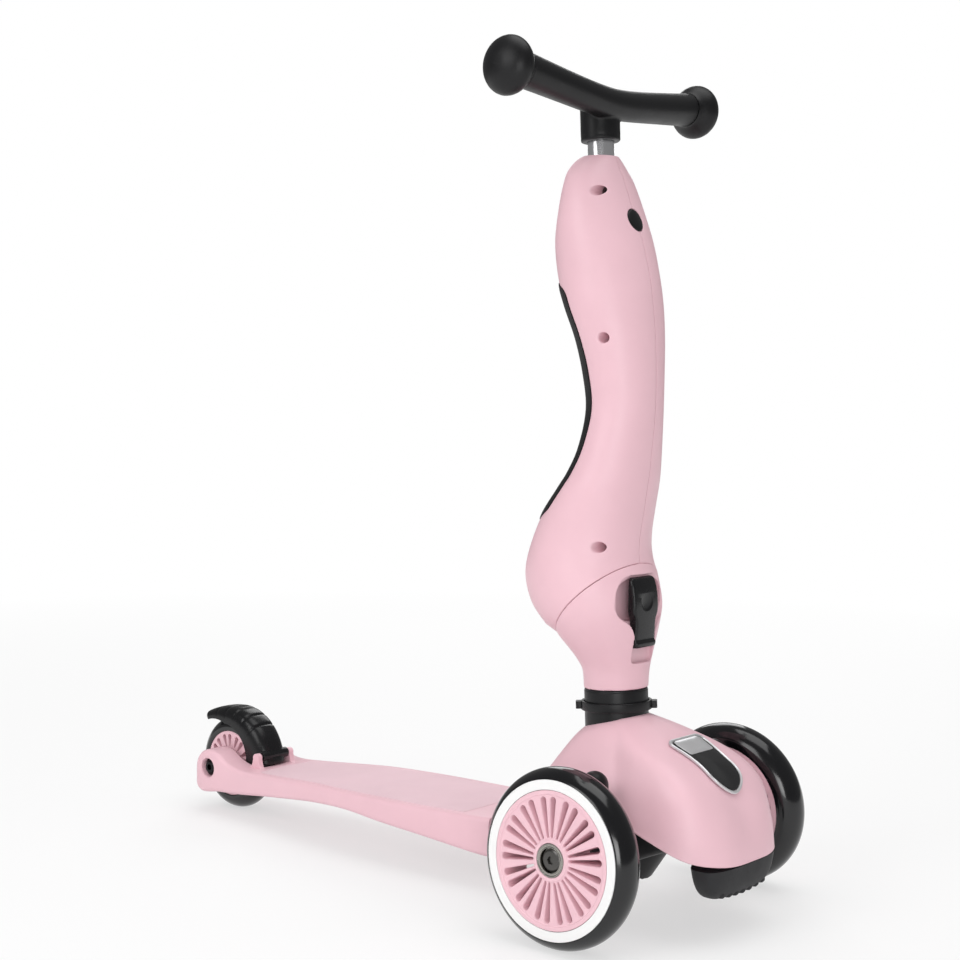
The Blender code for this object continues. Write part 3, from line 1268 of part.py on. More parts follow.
def add_seat_column(column, finishes):
    """Two half shells closed by screws, with the handlebar's sleeve moulded in."""
    outer = [fold_ring(GAP / 2)]
    outer += [section_ring(row) for row in smooth_rows(COLUMN_STATIONS, COLUMN_STEPS)]
    inner = [fold_ring(GAP / 2 + FOLD_FLOOR, COLUMN_WALL * FLOOR_INSET, HOLLOW_POINTS)]
    for row in COLUMN_STATIONS[1:-3]:
        inner.append(section_ring(row, COLUMN_WALL, COLUMN_WALL + PAD_SEAT_T + GAP, HOLLOW_POINTS))
    foot = Vector((0.0, COLUMN_GROUND_Y, 0.0))
    button = column_line(BUTTON_Z)
    # The exact solver leaves open edges where thin walls meet the split, so these use the other
    hollow = add_helper("seat_hollow", [bridge(inner)], column)
    cut(hollow, "sleeve", cylinder(foot, COLUMN_UP, GUIDE_R + GAP + GUIDE_SLEEVE,
                                   along_column(SLEEVE_BOTTOM), LONG * 4), solver="MANIFOLD")
    cut(hollow, "button_boss", cylinder(button, COLUMN_FRONT, BUTTON_R + RUNNING + BUTTON_WALL,
                                        0.0, LONG), solver="MANIFOLD")
    screws = [Vector((0.0, y * MM, z * MM)) for y, z in COLUMN_SCREWS]
    cut(hollow, "screw_bosses", *[cylinder(place, X, SCREW_BOSS_R, -LONG, LONG)
                                  for place in screws], solver="MANIFOLD")
    guide_low = along_column(GUIDE_BOTTOM) - GAP
    guide_top = along_column(GUIDE_TOP) + GAP
    tube_low = along_column(TUBE_BOTTOM) - TUBE_FLOOR_GAP
    tube_bore = [(0.0, tube_low), (TUBE_R + RUNNING, tube_low), (TUBE_R + RUNNING, guide_low),
                 (GUIDE_R + GAP, guide_low), (GUIDE_R + GAP, guide_top),
                 (TUBE_R + RUNNING, guide_top), (TUBE_R + RUNNING, LONG * 4), (0.0, LONG * 4)]
    button_bore = [(0.0, 0.0), (BUTTON_STEM_R + RUNNING, 0.0),
                   (BUTTON_STEM_R + RUNNING, BUTTON_FLOOR), (BUTTON_R + RUNNING, BUTTON_FLOOR),
                   (BUTTON_R + RUNNING, LONG), (0.0, LONG)]
    screw_hole = [(0.0, -SCREW_DEPTH - GAP), (SCREW_R + RUNNING, -SCREW_DEPTH - GAP),
                  (SCREW_R + RUNNING, SCREW_SEAT_X), (SCREW_HEAD_R + RUNNING, SCREW_SEAT_X),
                  (SCREW_HEAD_R + RUNNING, LONG), (0.0, LONG)]
    holes = [turned(screw_hole, place, -X) for place in screws]
    holes.append(cylinder(FOLD_CENTRE, FOLD_UP, PIVOT_R + RUNNING, -FOLD_FLOOR, FOLD_FLOOR * 2))
    bed_depth = PAD_SEAT_T - PAD_SEAT_PROUD + PAD_SEAT_BED
    cutters = [
        hollow,
        add_helper("seat_recess", [seat_pad_shape(PAD_SEAT_BED, COLUMN_WALL, bed_depth)], column),
        add_helper("seat_tube_bore", [turned(tube_bore, foot, COLUMN_UP)], column),
        add_helper("seat_button_bore", [turned(button_bore, button, COLUMN_FRONT)], column),
        add_helper("seat_holes", holes, column),
    ]
    for sign, side in SIDES:
        shell = add_piece(f"seat_shell_{side}", bridge([half_ring(ring, sign) for ring in outer]),
                          finishes["pink"], column)
        for cutter in cutters:
            apply_helper(shell, cutter, "DIFFERENCE", "MANIFOLD")

    for number, place in enumerate(screws, 1):
        seat = SCREW_SEAT_X + GAP
        screw = turned([(0.0, -SCREW_DEPTH), (SCREW_R, -SCREW_DEPTH), (SCREW_R, seat),
                        (SCREW_HEAD_R, seat), (SCREW_HEAD_R, seat + SCREW_HEAD_H),
                        (0.0, seat + SCREW_HEAD_H)], place, -X)
        piece = add_piece(f"column_screw_{number}", screw, finishes["steel"], column)
        cut(piece, "socket", hex_prism(place, -X, SCREW_HEX_R,
                                 seat + SCREW_HEAD_H * HEX_SOCKET_FLOOR, LONG))
    add_piece("seat_pad", seat_pad_shape(0.0, PAD_SEAT_PROUD, PAD_SEAT_T - PAD_SEAT_PROUD),
              finishes["pad"], column)
    guide = tube(foot, COLUMN_UP, TUBE_R + RUNNING, GUIDE_R, along_column(GUIDE_BOTTOM),
                 along_column(GUIDE_TOP))
    guide_piece = add_piece("tube_guide", guide, finishes["black"], column)
    cut(guide_piece, "stem_hole", cylinder(button, COLUMN_FRONT, BUTTON_STEM_R + RUNNING, 0.0,
                                           LONG))
    spring = tube(button, COLUMN_FRONT, BUTTON_STEM_R + RUNNING, BUTTON_R - RUNNING,
                  BUTTON_FLOOR + GAP, button_back() - BUTTON_TRAVEL - GAP)
    add_piece("button_spring", spring, finishes["steel"], column)


def add_fold_pivot(column, chassis, finishes):
    """The bolt turns with the seat column; its washer and nut stay in the neck."""
    floor = GAP / 2 + FOLD_FLOOR
    head = floor + GAP
    nut_top = -floor - GAP - PIVOT_WASHER_T - GAP
    nut_low = nut_top - PIVOT_NUT_H
    shank = [(0.0, nut_low), (PIVOT_R, nut_low), (PIVOT_R, head), (PIVOT_HEAD_R, head),
             (PIVOT_HEAD_R, head + PIVOT_HEAD_H), (0.0, head + PIVOT_HEAD_H)]
    add_piece("fold_pivot_bolt", turned(shank, FOLD_CENTRE, FOLD_UP), finishes["steel"], column)
    washer = tube(FOLD_CENTRE, FOLD_UP, PIVOT_R + RUNNING, PIVOT_NUT_R, nut_top + GAP,
                  nut_top + GAP + PIVOT_WASHER_T)
    add_piece("fold_pivot_washer", washer, finishes["steel"], chassis)
    nut = add_piece("fold_pivot_nut", hex_prism(FOLD_CENTRE, FOLD_UP, PIVOT_NUT_R, nut_low, nut_top),
                    finishes["steel"], chassis)
    cut(nut, "bore", cylinder(FOLD_CENTRE, FOLD_UP, PIVOT_R + RUNNING, -LONG, 0.0))


def button_face():
    """Distance of the button's outer face from the column axis."""
    low, high = 0.0, float(len(COLUMN_STATIONS) - 1)
    for _ in range(40):
        middle = (low + high) / 2
        if smooth_row(COLUMN_STATIONS, middle)[1] < BUTTON_Z / MM:
            low = middle
        else:
            high = middle
    front_y = smooth_row(COLUMN_STATIONS, high)[0] * MM
    return (column_line(BUTTON_Z).y - front_y) * math.cos(RAKE)


def button_back():
    return button_face() - BUTTON_CAP


def add_button(button_body, finishes):
    centre = column_line(BUTTON_Z)
    face = button_face()
    profile = [(0.0, BUTTON_STEM_TIP), (BUTTON_STEM_R, BUTTON_STEM_TIP),
               (BUTTON_STEM_R, button_back()), (BUTTON_R, button_back()),
               *[(BUTTON_R * share, face - BUTTON_DOME * (1 - rise))
                 for share, rise in BUTTON_DOME_SHAPE], (0.0, face)]
    add_piece("height_button", turned(profile, centre, COLUMN_FRONT), finishes["black"],
              button_body)


def add_handlebar(bar, finishes):
    foot = Vector((0.0, COLUMN_GROUND_Y, 0.0))
    low = along_column(TUBE_BOTTOM)
    high = along_column(TUBE_TOP)
    shape = tube(foot, COLUMN_UP, TUBE_R - TUBE_WALL, TUBE_R, low, high)
    pole = add_piece("handlebar_tube", shape, finishes["chrome"], bar)
    button = along_column(BUTTON_Z)
    half = BUTTON_STEM_R + SLOT_PLAY
    slot = arc((0.0, button - BAR_TRAVEL), half, 180, 360, 8) + arc((0.0, button), half, 0, 180, 8)
    cut(pole, "stem_slot", prism(slot, foot, X, COLUMN_UP, 0.0, LONG))
    screw_at = column_line(TUBE_TOP - BAR_SCREW_DROP)
    cut(pole, "screw_hole", cylinder(screw_at, -COLUMN_FRONT, BAR_SCREW_R + RUNNING, 0.0, LONG))

    rings = []
    for step in range(-BAR_STEPS, BAR_STEPS + 1):
        share = abs(step) / BAR_STEPS
        x = BAR_END.x * step / BAR_STEPS
        bend = (math.hypot(share, BAR_BEND) - BAR_BEND) / (math.hypot(1.0, BAR_BEND) - BAR_BEND)
        centre = BAR_CENTRE + (BAR_END - BAR_CENTRE) * bend
        centre.x = x
        rings.append(bar_ring(centre, BAR_R + (BAR_END_R - BAR_R) * share ** 2))
    left = Vector(BAR_END)
    right = Vector((-BAR_END.x, BAR_END.y, BAR_END.z))
    right_spigot = [bar_ring(right - X * SPIGOT_L, SPIGOT_R), bar_ring(right, SPIGOT_R)]
    left_spigot = [bar_ring(left, SPIGOT_R), bar_ring(left + X * SPIGOT_L, SPIGOT_R)]
    handle = add_piece("handlebar", bridge(right_spigot + rings + left_spigot), finishes["black"], bar)
    bottom = along_column(TUBE_TOP - SOCKET_DEPTH)
    top = along_column(TUBE_TOP + SOCKET_OVER)
    socket = [(0.0, bottom), (SOCKET_R, bottom),
              *[(SOCKET_R * share, top - SOCKET_R * drop) for share, drop in SOCKET_DOME],
              (0.0, top)]
    join(handle, "socket", turned(socket, foot, COLUMN_UP))
    cut(handle, "tube_bore", cylinder(foot, COLUMN_UP, TUBE_R + GAP, 0.0, high + GAP))
    seat = SOCKET_R - BAR_SCREW_HEAD_H - GAP
    hole = [(0.0, 0.0), (BAR_SCREW_R + RUNNING, 0.0), (BAR_SCREW_R + RUNNING, seat),
            (BAR_SCREW_HEAD_R + RUNNING, seat), (BAR_SCREW_HEAD_R + RUNNING, LONG), (0.0, LONG)]
    cut(handle, "screw_hole", turned(hole, screw_at, -COLUMN_FRONT))
    screw = turned([
        (0.0, TUBE_R - TUBE_WALL), (BAR_SCREW_R, TUBE_R - TUBE_WALL), (BAR_SCREW_R, seat + GAP),
        (BAR_SCREW_HEAD_R, seat + GAP), (BAR_SCREW_HEAD_R, SOCKET_R), (0.0, SOCKET_R)],
        screw_at, -COLUMN_FRONT)
    piece = add_piece("handlebar_screw", screw, finishes["steel"], bar)
    cut(piece, "socket", hex_prism(screw_at, -COLUMN_FRONT, SCREW_HEX_R,
                                   SOCKET_R - BAR_SCREW_HEAD_H / 2, LONG))
    for sign, side in SIDES:
        inner = Vector((sign * (BAR_END.x + GAP), BAR_END.y, BAR_END.z))
        half = KNOB_T / 2
        profile = [(0.0, SPIGOT_L), (SPIGOT_R + GAP, SPIGOT_L), (SPIGOT_R + GAP, 0.0), (BAR_END_R, 0.0)]
        shoulder = KNOB_R - BAR_END_R
        for radius, height in arc((0.0, 0.0), 1.0, -90, 0, 3)[1:]:
            profile.append((BAR_END_R + shoulder * radius, half + half * height))
        for radius, height in arc((0.0, 0.0), 1.0, 0, 75, 3)[1:]:
            profile.append((KNOB_R * radius, half + half * height))
        profile.append((0.0, KNOB_T))
        add_piece(f"grip_end_{side}", turned(profile, inner, X * sign), finishes["black"], bar)


def bar_ring(centre, radius):
    ring = []
    for n in range(BAR_POINTS):
        angle = 2 * math.pi * n / BAR_POINTS
        ring.append(centre + Y * radius * math.cos(angle) + Z * radius * math.sin(angle))
    return ring


def make_finishes():
    return {
        "pink": make_material("pink_plastic", (0.72, 0.42, 0.43), 0.42),
        "white": make_material("white_plastic", (0.86, 0.86, 0.85), 0.35),
        "black": make_material("black_plastic", (0.02, 0.02, 0.022), 0.45),
        "tyre": make_material("tyre", (0.012, 0.012, 0.013), 0.5),
        "rubber": make_material("black_rubber", (0.025, 0.025, 0.026), 0.7),
        "pad": make_material("pad_rubber", (0.03, 0.03, 0.032), 0.65),
        "bush": make_material("bush_rubber", (0.05, 0.05, 0.05), 0.6),
        "badge": make_material("badge_plastic", (0.03, 0.03, 0.032), 0.25),
        "steel": make_material("zinc_steel", (0.62, 0.61, 0.58), 0.35, 1.0),
        "bearing": make_material("bearing_steel", (0.45, 0.43, 0.4), 0.3, 1.0),
        "chrome": make_material("chrome", (0.8, 0.8, 0.82), 0.12, 1.0),
    }


def main():
    clear_scene()
    finishes = make_finishes()
    scooter = add_empty("scooter", Vector())
    scooter.location.y = -CENTRE_Y
    truck = add_empty("truck_axis", KINGPIN_FOOT, scooter)
    for sign, side in SIDES:
        spin = add_empty(f"front_{side}_axis", front_centre(sign), truck)
        add_front_wheel(f"front_{side}", sign, spin, truck, finishes)
    add_truck(truck, scooter, finishes)
    add_deck(scooter, finishes)
    add_rear_wheel(add_empty("rear_axis", REAR_AXLE, scooter), scooter, finishes)
    add_brake(add_empty("brake_axis", brake_pin_place(), scooter), scooter, finishes)
    add_hood(scooter, finishes)
    add_badge(scooter, finishes)
    add_bumper(scooter, finishes)
    add_post(scooter, finishes)
    add_neck(scooter, finishes)
    add_latch(add_empty("latch_axis", Vector((0.0, LATCH_FLOOR, LATCH_DISC_Z)), scooter),
              scooter, finishes)
    column = add_empty("fold_axis", FOLD_CENTRE, scooter)
    add_seat_column(column, finishes)
    add_fold_pivot(column, scooter, finishes)
    add_button(add_empty("button_axis", column_line(BUTTON_Z), column), finishes)
    add_handlebar(add_empty("bar_axis", column_line(BAR_CENTRE.z), column), finishes)


main()
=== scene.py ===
# %% [markdown]
# # A three-wheel kick scooter
# The imported CAD model comes first and stays as it is. It holds every piece at its real size and
# place, so the pieces made here only have to be finer, with rounder edges and better finishes.

# %% Load the frame
import math

import bmesh
import bpy
from mathutils import Matrix, Vector


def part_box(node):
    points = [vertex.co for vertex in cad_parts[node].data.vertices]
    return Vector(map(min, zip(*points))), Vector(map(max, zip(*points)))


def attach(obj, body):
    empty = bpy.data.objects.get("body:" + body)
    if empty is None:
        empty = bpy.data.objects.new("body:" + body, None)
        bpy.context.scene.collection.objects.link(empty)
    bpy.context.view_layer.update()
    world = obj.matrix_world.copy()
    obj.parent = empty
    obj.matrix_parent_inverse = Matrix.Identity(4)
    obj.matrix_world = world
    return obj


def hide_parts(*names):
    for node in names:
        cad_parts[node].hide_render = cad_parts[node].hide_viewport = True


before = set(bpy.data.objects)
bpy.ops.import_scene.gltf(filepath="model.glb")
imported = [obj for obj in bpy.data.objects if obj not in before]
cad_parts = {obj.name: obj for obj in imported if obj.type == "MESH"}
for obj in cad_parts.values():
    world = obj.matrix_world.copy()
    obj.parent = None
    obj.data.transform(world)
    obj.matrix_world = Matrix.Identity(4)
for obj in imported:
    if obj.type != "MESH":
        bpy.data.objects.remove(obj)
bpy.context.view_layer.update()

# %% [markdown]
# ## Where things are
# All shaping is done in metres with the front axle at y = 0 and the ground at z = 0, because the
# sizes of a scooter are taken from there. The frame's own origin lies in the middle of its
# footprint, so each finished piece is moved back by the place of a front hub.

# %% Places
MM = 0.001
X = Vector((1.0, 0.0, 0.0))
Y = Vector((0.0, 1.0, 0.0))
Z = Vector((0.0, 0.0, 1.0))
SIDES = ((1, "left"), (-1, "right"))
# The clearance between two pieces, and a length that runs past any of them
GAP = 0.3 * MM
LONG = 0.2

hub_low, hub_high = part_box("front_left_hub")
AXLE_Y = (hub_low.y + hub_high.y) / 2
FRONT_AXLE_Z = (hub_low.z + hub_high.z) / 2
rear_low, rear_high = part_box("rear_hub")
REAR_AXLE = Vector((0.0, (rear_low.y + rear_high.y) / 2 - AXLE_Y, (rear_low.z + rear_high.z) / 2))
CAMBER = math.radians(3.5)
RAKE = math.radians(3.06)
COLUMN_FOOT = Vector((0.0, 25.2 * MM, 0.0))
COLUMN_UP = Vector((0.0, math.sin(RAKE), math.cos(RAKE)))
COLUMN_FRONT = Vector((0.0, -math.cos(RAKE), math.sin(RAKE)))
print("front axle at y", round(AXLE_Y, 4), "and rear axle", round(REAR_AXLE.y, 4), "behind it")

# %% [markdown]
# ## The camera
# The photograph was taken from the rider's right, a little above the deck. The camera's place
# was worked out from the three wheels, which all stand on the ground: their outlines fix how far
# away it is and how it leans.

# %% Camera
CAMERA_PLACE = Vector((-0.95047, AXLE_Y - 0.65167, 0.36097))
CAMERA_YAW = math.radians(49.346)
CAMERA_PITCH = math.radians(-2.803)
CAMERA_ROLL = math.radians(0.649)
# The lens and the width of the film, in mm
CAMERA_LENS = 61.4
CAMERA_FILM = 36.0


def placed(name, data):
    """An object that holds a mesh, lamp or camera, put in the scene."""
    thing = bpy.data.objects.new(name, data)
    bpy.context.scene.collection.objects.link(thing)
    return thing


def add_camera():
    look = Vector((math.sin(CAMERA_YAW) * math.cos(CAMERA_PITCH),
                   math.cos(CAMERA_YAW) * math.cos(CAMERA_PITCH), math.sin(CAMERA_PITCH)))
    level = Vector((math.cos(CAMERA_YAW), -math.sin(CAMERA_YAW), 0.0))
    upright = level.cross(look)
    right = level * math.cos(CAMERA_ROLL) + upright * math.sin(CAMERA_ROLL)
    up = upright * math.cos(CAMERA_ROLL) - level * math.sin(CAMERA_ROLL)
    camera = placed("camera", bpy.data.cameras.new("camera"))
    camera.data.lens = CAMERA_LENS
    camera.data.sensor_width = CAMERA_FILM
    turn = Matrix((right, up, -look)).transposed().to_4x4()
    camera.matrix_world = Matrix.Translation(CAMERA_PLACE) @ turn
    bpy.context.scene.camera = camera
    print("camera", round((CAMERA_PLACE - Vector((0.0, AXLE_Y, 0.3))).length, 2), "m from the axle")


add_camera()

# %% [markdown]
# ## Nodes written as sums
# A material is a small sum over the surface: a noise times a strength, added to a roughness.
# Written as Python it reads like that sum, so one class wraps an output socket and turns +, -,
# * and / into Math nodes. Any other node comes from its one method, which takes the node's type,
# its settings and what its sockets get.

# %% Nodes as Python
# Where a Mix node keeps its two colours and its mixed colour, counted among its sockets
MIX_COLOURS = (6, 7)
MIX_RESULT = 2


class Channel:
    """An output socket of a material's nodes."""

    def __init__(self, tree, socket=None):
        self.tree = tree
        self.socket = socket

    def node(self, kind, settings=(), inputs=(), output=0):
        """Adds a node with its settings and inputs, and gives one of its outputs."""
        made = self.tree.nodes.new(kind)
        for key, value in dict(settings).items():
            if key == "stops":
                elements = made.color_ramp.elements
                for place, _ in value[1:-1]:
                    elements.new(place)
                for element, (place, shade) in zip(elements, value):
                    element.position = place
                    element.color = (shade, shade, shade, 1.0)
            else:
                setattr(made, key, value)
        for key, value in dict(inputs).items():
            if isinstance(value, Channel):
                self.tree.links.new(value.socket, made.inputs[key])
            else:
                made.inputs[key].default_value = value
        return Channel(self.tree, made.outputs[output])

    def sum_of(self, operation, first, second):
        return self.node("ShaderNodeMath", {"operation": operation}, {0: first, 1: second})

    def __add__(self, other):
        return self.sum_of("ADD", self, other)

    def __radd__(self, other):
        return self.sum_of("ADD", other, self)

    def __sub__(self, other):
        return self.sum_of("SUBTRACT", self, other)

    def __rsub__(self, other):
        return self.sum_of("SUBTRACT", other, self)

    def __mul__(self, other):
        return self.sum_of("MULTIPLY", self, other)

    def __rmul__(self, other):
        return self.sum_of("MULTIPLY", other, self)

    def __truediv__(self, other):
        return self.sum_of("DIVIDE", self, other)

    def __rtruediv__(self, other):
        return self.sum_of("DIVIDE", other, self)


def new_material(name):
    """An empty material, and a channel to add nodes from."""
    material = bpy.data.materials.new(name)
    material.use_nodes = True
    material.node_tree.nodes.clear()
    return material, Channel(material.node_tree)


def noise(start, place, scale, detail=2.0, rough=0.5):
    """Noise between 0 and 1 with features of about one over scale, in metres."""
    return start.node("ShaderNodeTexNoise", {"noise_dimensions": "3D"},
                      {"Vector": place, "Scale": scale, "Detail": detail, "Roughness": rough})


def ramp(start, value, stops):
    """A value spread between stops of place and result."""
    return start.node("ShaderNodeValToRGB", {"stops": stops}, {"Fac": value})


def blend_colours(start, share, first, second):
    """first where share is 0, second where it is 1."""
    colours = {place: value if isinstance(value, Channel) else (*value, 1.0)
               for place, value in zip(MIX_COLOURS, (first, second))}
    return start.node("ShaderNodeMix", {"data_type": "RGBA"}, {0: share, **colours}, MIX_RESULT)


print("operators ready:", [name for name in dir(Channel) if name.startswith("__r")])

# %% [markdown]
# ## Moulded plastic and rubber
# Nearly every piece of a child's scooter is injection-moulded. Its colour is even, with faint
# flow marks a few centimetres long. Its sheen isn't: the mould is lightly etched, and hands and
# shoes polish it in patches. So the colour gets very little noise, the roughness gets more, and
# a fine bump stands for the etched grain. A scuff is a thin stretched noise that only shows in
# the roughness and as a slightly paler line.

# %% Moulded finishes
# How fine the flow marks, the polished patches and the scuffs are, in features to a metre
FLOW_SCALE = 18.0
PATCH_SCALE = 60.0
SCUFF_SCALE = 420.0
# How much the patches change the roughness
PATCH_SHEEN = 0.07


def finish_with(start, shader):
    """Joins a shader to the material's output."""
    output = start.tree.nodes.new("ShaderNodeOutputMaterial")
    start.tree.links.new(shader.socket, output.inputs["Surface"])


def moulded(name, colour, roughness, grain=900.0, depth=0.03, mottle=0.05, scuffs=0.1, coat=0.0,
            ior=1.47):
    """Plastic or rubber: grain is the etching's fineness, depth its height in mm."""
    material, start = new_material(name)
    place = start.node("ShaderNodeTexCoord", output="Object")
    flow = noise(start, place, FLOW_SCALE, 4.0, 0.6)
    patches = ramp(start, noise(start, place, PATCH_SCALE, 3.0), ((0.35, 0.0), (0.65, 1.0)))
    stretched = start.node("ShaderNodeMapping", {"vector_type": "TEXTURE"},
                           {"Vector": place, "Rotation": (0.3, 0.5, 0.2), "Scale": (1.0, 9.0, 1.0)})
    scratch = ramp(start, noise(start, stretched, SCUFF_SCALE, 2.0, 0.7),
                   ((0.66, 0.0), (0.74, 1.0)))
    darker = tuple(part * (1.0 - mottle * 1.6) for part in colour)
    lighter = tuple(min(1.0, part * (1.0 + mottle)) for part in colour)
    tone = blend_colours(start, flow, darker, lighter)
    worn = tuple(min(1.0, part * 1.05 + 0.008) for part in colour)
    tone = blend_colours(start, scratch * scuffs, tone, worn)
    sheen = roughness + (patches - 0.5) * PATCH_SHEEN + scratch * (scuffs * 0.5)
    etched = noise(start, place, grain, 2.0, 0.6)
    bump = start.node("ShaderNodeBump", (), {"Strength": 1.0, "Distance": depth * MM,
                                             "Height": etched})
    shader = start.node("ShaderNodeBsdfPrincipled", (), {
        "Base Color": tone, "Roughness": sheen, "Normal": bump, "Coat Weight": coat,
        "Coat Roughness": 0.1, "IOR": ior})
    finish_with(start, shader)
    return material


# Colour and roughness, and what differs from the usual finish
MOULDED = {
    "pink_plastic": ((0.80, 0.512, 0.572), 0.42, {"scuffs": 0.25}),
    "grip_panel": ((0.79, 0.56, 0.615), 0.6, {"grain": 1500.0, "depth": 0.2, "scuffs": 0.5}),
    "white_plastic": ((0.83, 0.83, 0.825), 0.34, {"mottle": 0.015}),
    "black_plastic": ((0.006, 0.006, 0.007), 0.4, {"depth": 0.05, "scuffs": 0.3, "ior": 1.4}),
    "gloss_black": ((0.006, 0.006, 0.007), 0.27, {"depth": 0.04, "scuffs": 0.3, "ior": 1.42}),
    "tyre": ((0.004, 0.004, 0.005), 0.16, {"depth": 0.01, "scuffs": 0.15, "coat": 0.25}),
    "black_rubber": ((0.013, 0.013, 0.015), 0.6, {"depth": 0.08, "scuffs": 0.6}),
    "pad_rubber": ((0.007, 0.007, 0.008), 0.6,
                   {"grain": 1400.0, "depth": 0.12, "scuffs": 0.3, "ior": 1.4}),
    "bush_rubber": ((0.05, 0.05, 0.05), 0.6, {}),
    "badge_plastic": ((0.008, 0.008, 0.009), 0.16, {"depth": 0.01, "coat": 0.5}),
}
FINISHES = {name: moulded(name, colour, roughness, **differing)
            for name, (colour, roughness, differing) in MOULDED.items()}
print("moulded finishes:", ", ".join(FINISHES))

# %% [markdown]
# ## Steel
# Bolts and washers are zinc-plated: a pale, slightly cloudy metal. The bearings are ground steel
# with turning marks, and the handlebar's tube is chromed, which is the smoothest of the three.
# These are fully metallic, and only their roughness and a faint tone change over the surface. The
# nose plate's frame is plastic with a silver coat, so it is only partly metallic.

# %% Metal finishes
# How fine the clouds and the turning marks are, in features to a metre
CLOUD_SCALE = 220.0
MARK_SCALE = 90.0


def plated(name, colour, roughness, cloud, brush, metal=1.0):
    """Steel or a metallic coat: cloud and brush are the strengths of its clouds and marks."""
    material, start = new_material(name)
    place = start.node("ShaderNodeTexCoord", output="Object")
    clouds = noise(start, place, CLOUD_SCALE, 3.0, 0.6)
    lines = start.node("ShaderNodeMapping", {"vector_type": "TEXTURE"},
                       {"Vector": place, "Scale": (1.0, 1.0, 0.04)})
    brushed = noise(start, lines, MARK_SCALE, 3.0, 0.6)
    darker = tuple(part * (1.0 - cloud) for part in colour)
    tone = blend_colours(start, clouds, darker, colour)
    sheen = roughness + (clouds - 0.5) * cloud + (brushed - 0.5) * brush
    shader = start.node("ShaderNodeBsdfPrincipled", (), {
        "Base Color": tone, "Roughness": sheen, "Metallic": metal})
    finish_with(start, shader)
    return material


# Colour, roughness, clouds and marks, and for the silver paint how metallic it is
METALS = {
    "zinc_steel": ((0.62, 0.61, 0.58), 0.3, 0.25, 0.1),
    "bearing_steel": ((0.42, 0.4, 0.37), 0.24, 0.25, 0.12),
    "dark_steel": ((0.13, 0.125, 0.12), 0.3, 0.3, 0.1),
    # near-black steel, used as painted shade in the deck's recesses round the rear axle
    "black_steel": ((0.03, 0.03, 0.032), 0.35, 0.3, 0.1),
    "chrome": ((0.9, 0.9, 0.92), 0.24, 0.04, 0.05),
    "frame_silver": ((0.68, 0.68, 0.69), 0.3, 0.08, 0.06, 0.55),
}
for name, values in METALS.items():
    FINISHES[name] = plated(name, *values)
print("metal finishes added:", len(FINISHES), "in all")

# %% [markdown]
# ## Finishes on the CAD pieces
# Every node of the frame names a material slot. Each gets the finish of that name first, so that
# nothing is left plain, and the pieces made below then stand for the nodes that need rounder
# edges or more faces.

# %% Paint the frame
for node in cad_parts.values():
    for slot in node.material_slots:
        slot.material = FINISHES[slot.material.name.split(".")[0]]
print("painted", len(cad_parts), "nodes")

# %% [markdown]
# ## Turned and lofted shapes
# Wheels, bearings, collar, button and grips are turned: a section swept round an axis. Hood,
# column, neck and handlebar are lofted: closed rings joined one to the next. Both could be
# primitives with modifiers, but rings written as points keep every size where the CAD has it.
# Sharp corners of a section are rounded here, because a real moulded edge catches the light.

# %% Lofts and turned shapes
# A corner flatter than this is left alone, and rounding takes at most this share of an edge
FLAT_ANGLE = math.radians(150.0)
CORNER_SHARE = 0.45
TURNS = 96


def full_turn(count):
    """Angles evenly round a circle."""
    return [2 * math.pi * n / count for n in range(count)]


def across(direction):
    """Two unit vectors square to a direction and to each other."""
    start = X if abs(direction.x) < 0.9 else Y
    side = (start - direction * direction.dot(start)).normalized()
    return side, direction.cross(side)


def loft(name, rings, wrap=False):
    """An object made of rings joined one to the next; its ends are closed unless wrap is set."""
    count = len(rings[0])
    shell = bmesh.new()
    made = [[shell.verts.new(point) for point in ring] for ring in rings]
    steps = len(rings) if wrap else len(rings) - 1
    for step in range(steps):
        low, high = made[step], made[(step + 1) % len(rings)]
        for index in range(count):
            after = (index + 1) % count
            shell.faces.new((low[index], low[after], high[after], high[index]))
    if not wrap:
        shell.faces.new(made[0])
        shell.faces.new(made[-1])
    bmesh.ops.recalc_face_normals(shell, faces=shell.faces)
    mesh = bpy.data.meshes.new(name)
    shell.to_mesh(mesh)
    shell.free()
    return placed(name, mesh)


def rounded(profile, radius, steps=3):
    """A closed section with its corners rounded. Points on the axis stay as they are."""
    points = []
    count = len(profile)
    for index, corner in enumerate(profile):
        before = Vector(profile[index - 1])
        after = Vector(profile[(index + 1) % count])
        corner = Vector(corner)
        into = before - corner
        out = after - corner
        shortest = min(into.length, out.length)
        if corner.x == 0.0 or shortest < 1e-9 or into.angle(out) > FLAT_ANGLE:
            points.append(tuple(corner))
            continue
        reach = min(radius, shortest * CORNER_SHARE)
        start = corner + into.normalized() * reach
        end = corner + out.normalized() * reach
        for step in range(steps + 1):
            share = step / steps
            point = start.lerp(corner, share).lerp(corner.lerp(end, share), share)
            points.append(tuple(point))
    return points


def turned(name, profile, foot, up, turns=TURNS):
    """A section turned about a line: (radius, height along up), a solid where it meets the axis."""
    side, other = across(up)
    spokes = [side * math.cos(a) + other * math.sin(a) for a in full_turn(turns)]
    rings = [[foot + up * height + spoke * radius for spoke in spokes]
             for radius, height in profile if radius > 0.0]
    solid = profile[0][0] == 0.0
    return loft(name, rings, wrap=not solid)


def prism(name, outline, foot, side, other, low, high):
    """An outline given along two directions, drawn out along the third from low to high."""
    out = side.cross(other)
    return loft(name, [[foot + side * u + other * v + out * height for u, v in outline]
                       for height in (low, high)])


print("turned in", TURNS, "steps unless a call says otherwise")

# %% [markdown]
# ## Sections
# A section is a short list of points in a plane of its own: a rectangle for a rod or a ring, and
# an arc where it is round. A curve object could hold it too, but a list can be read against the
# real piece with a ruler.

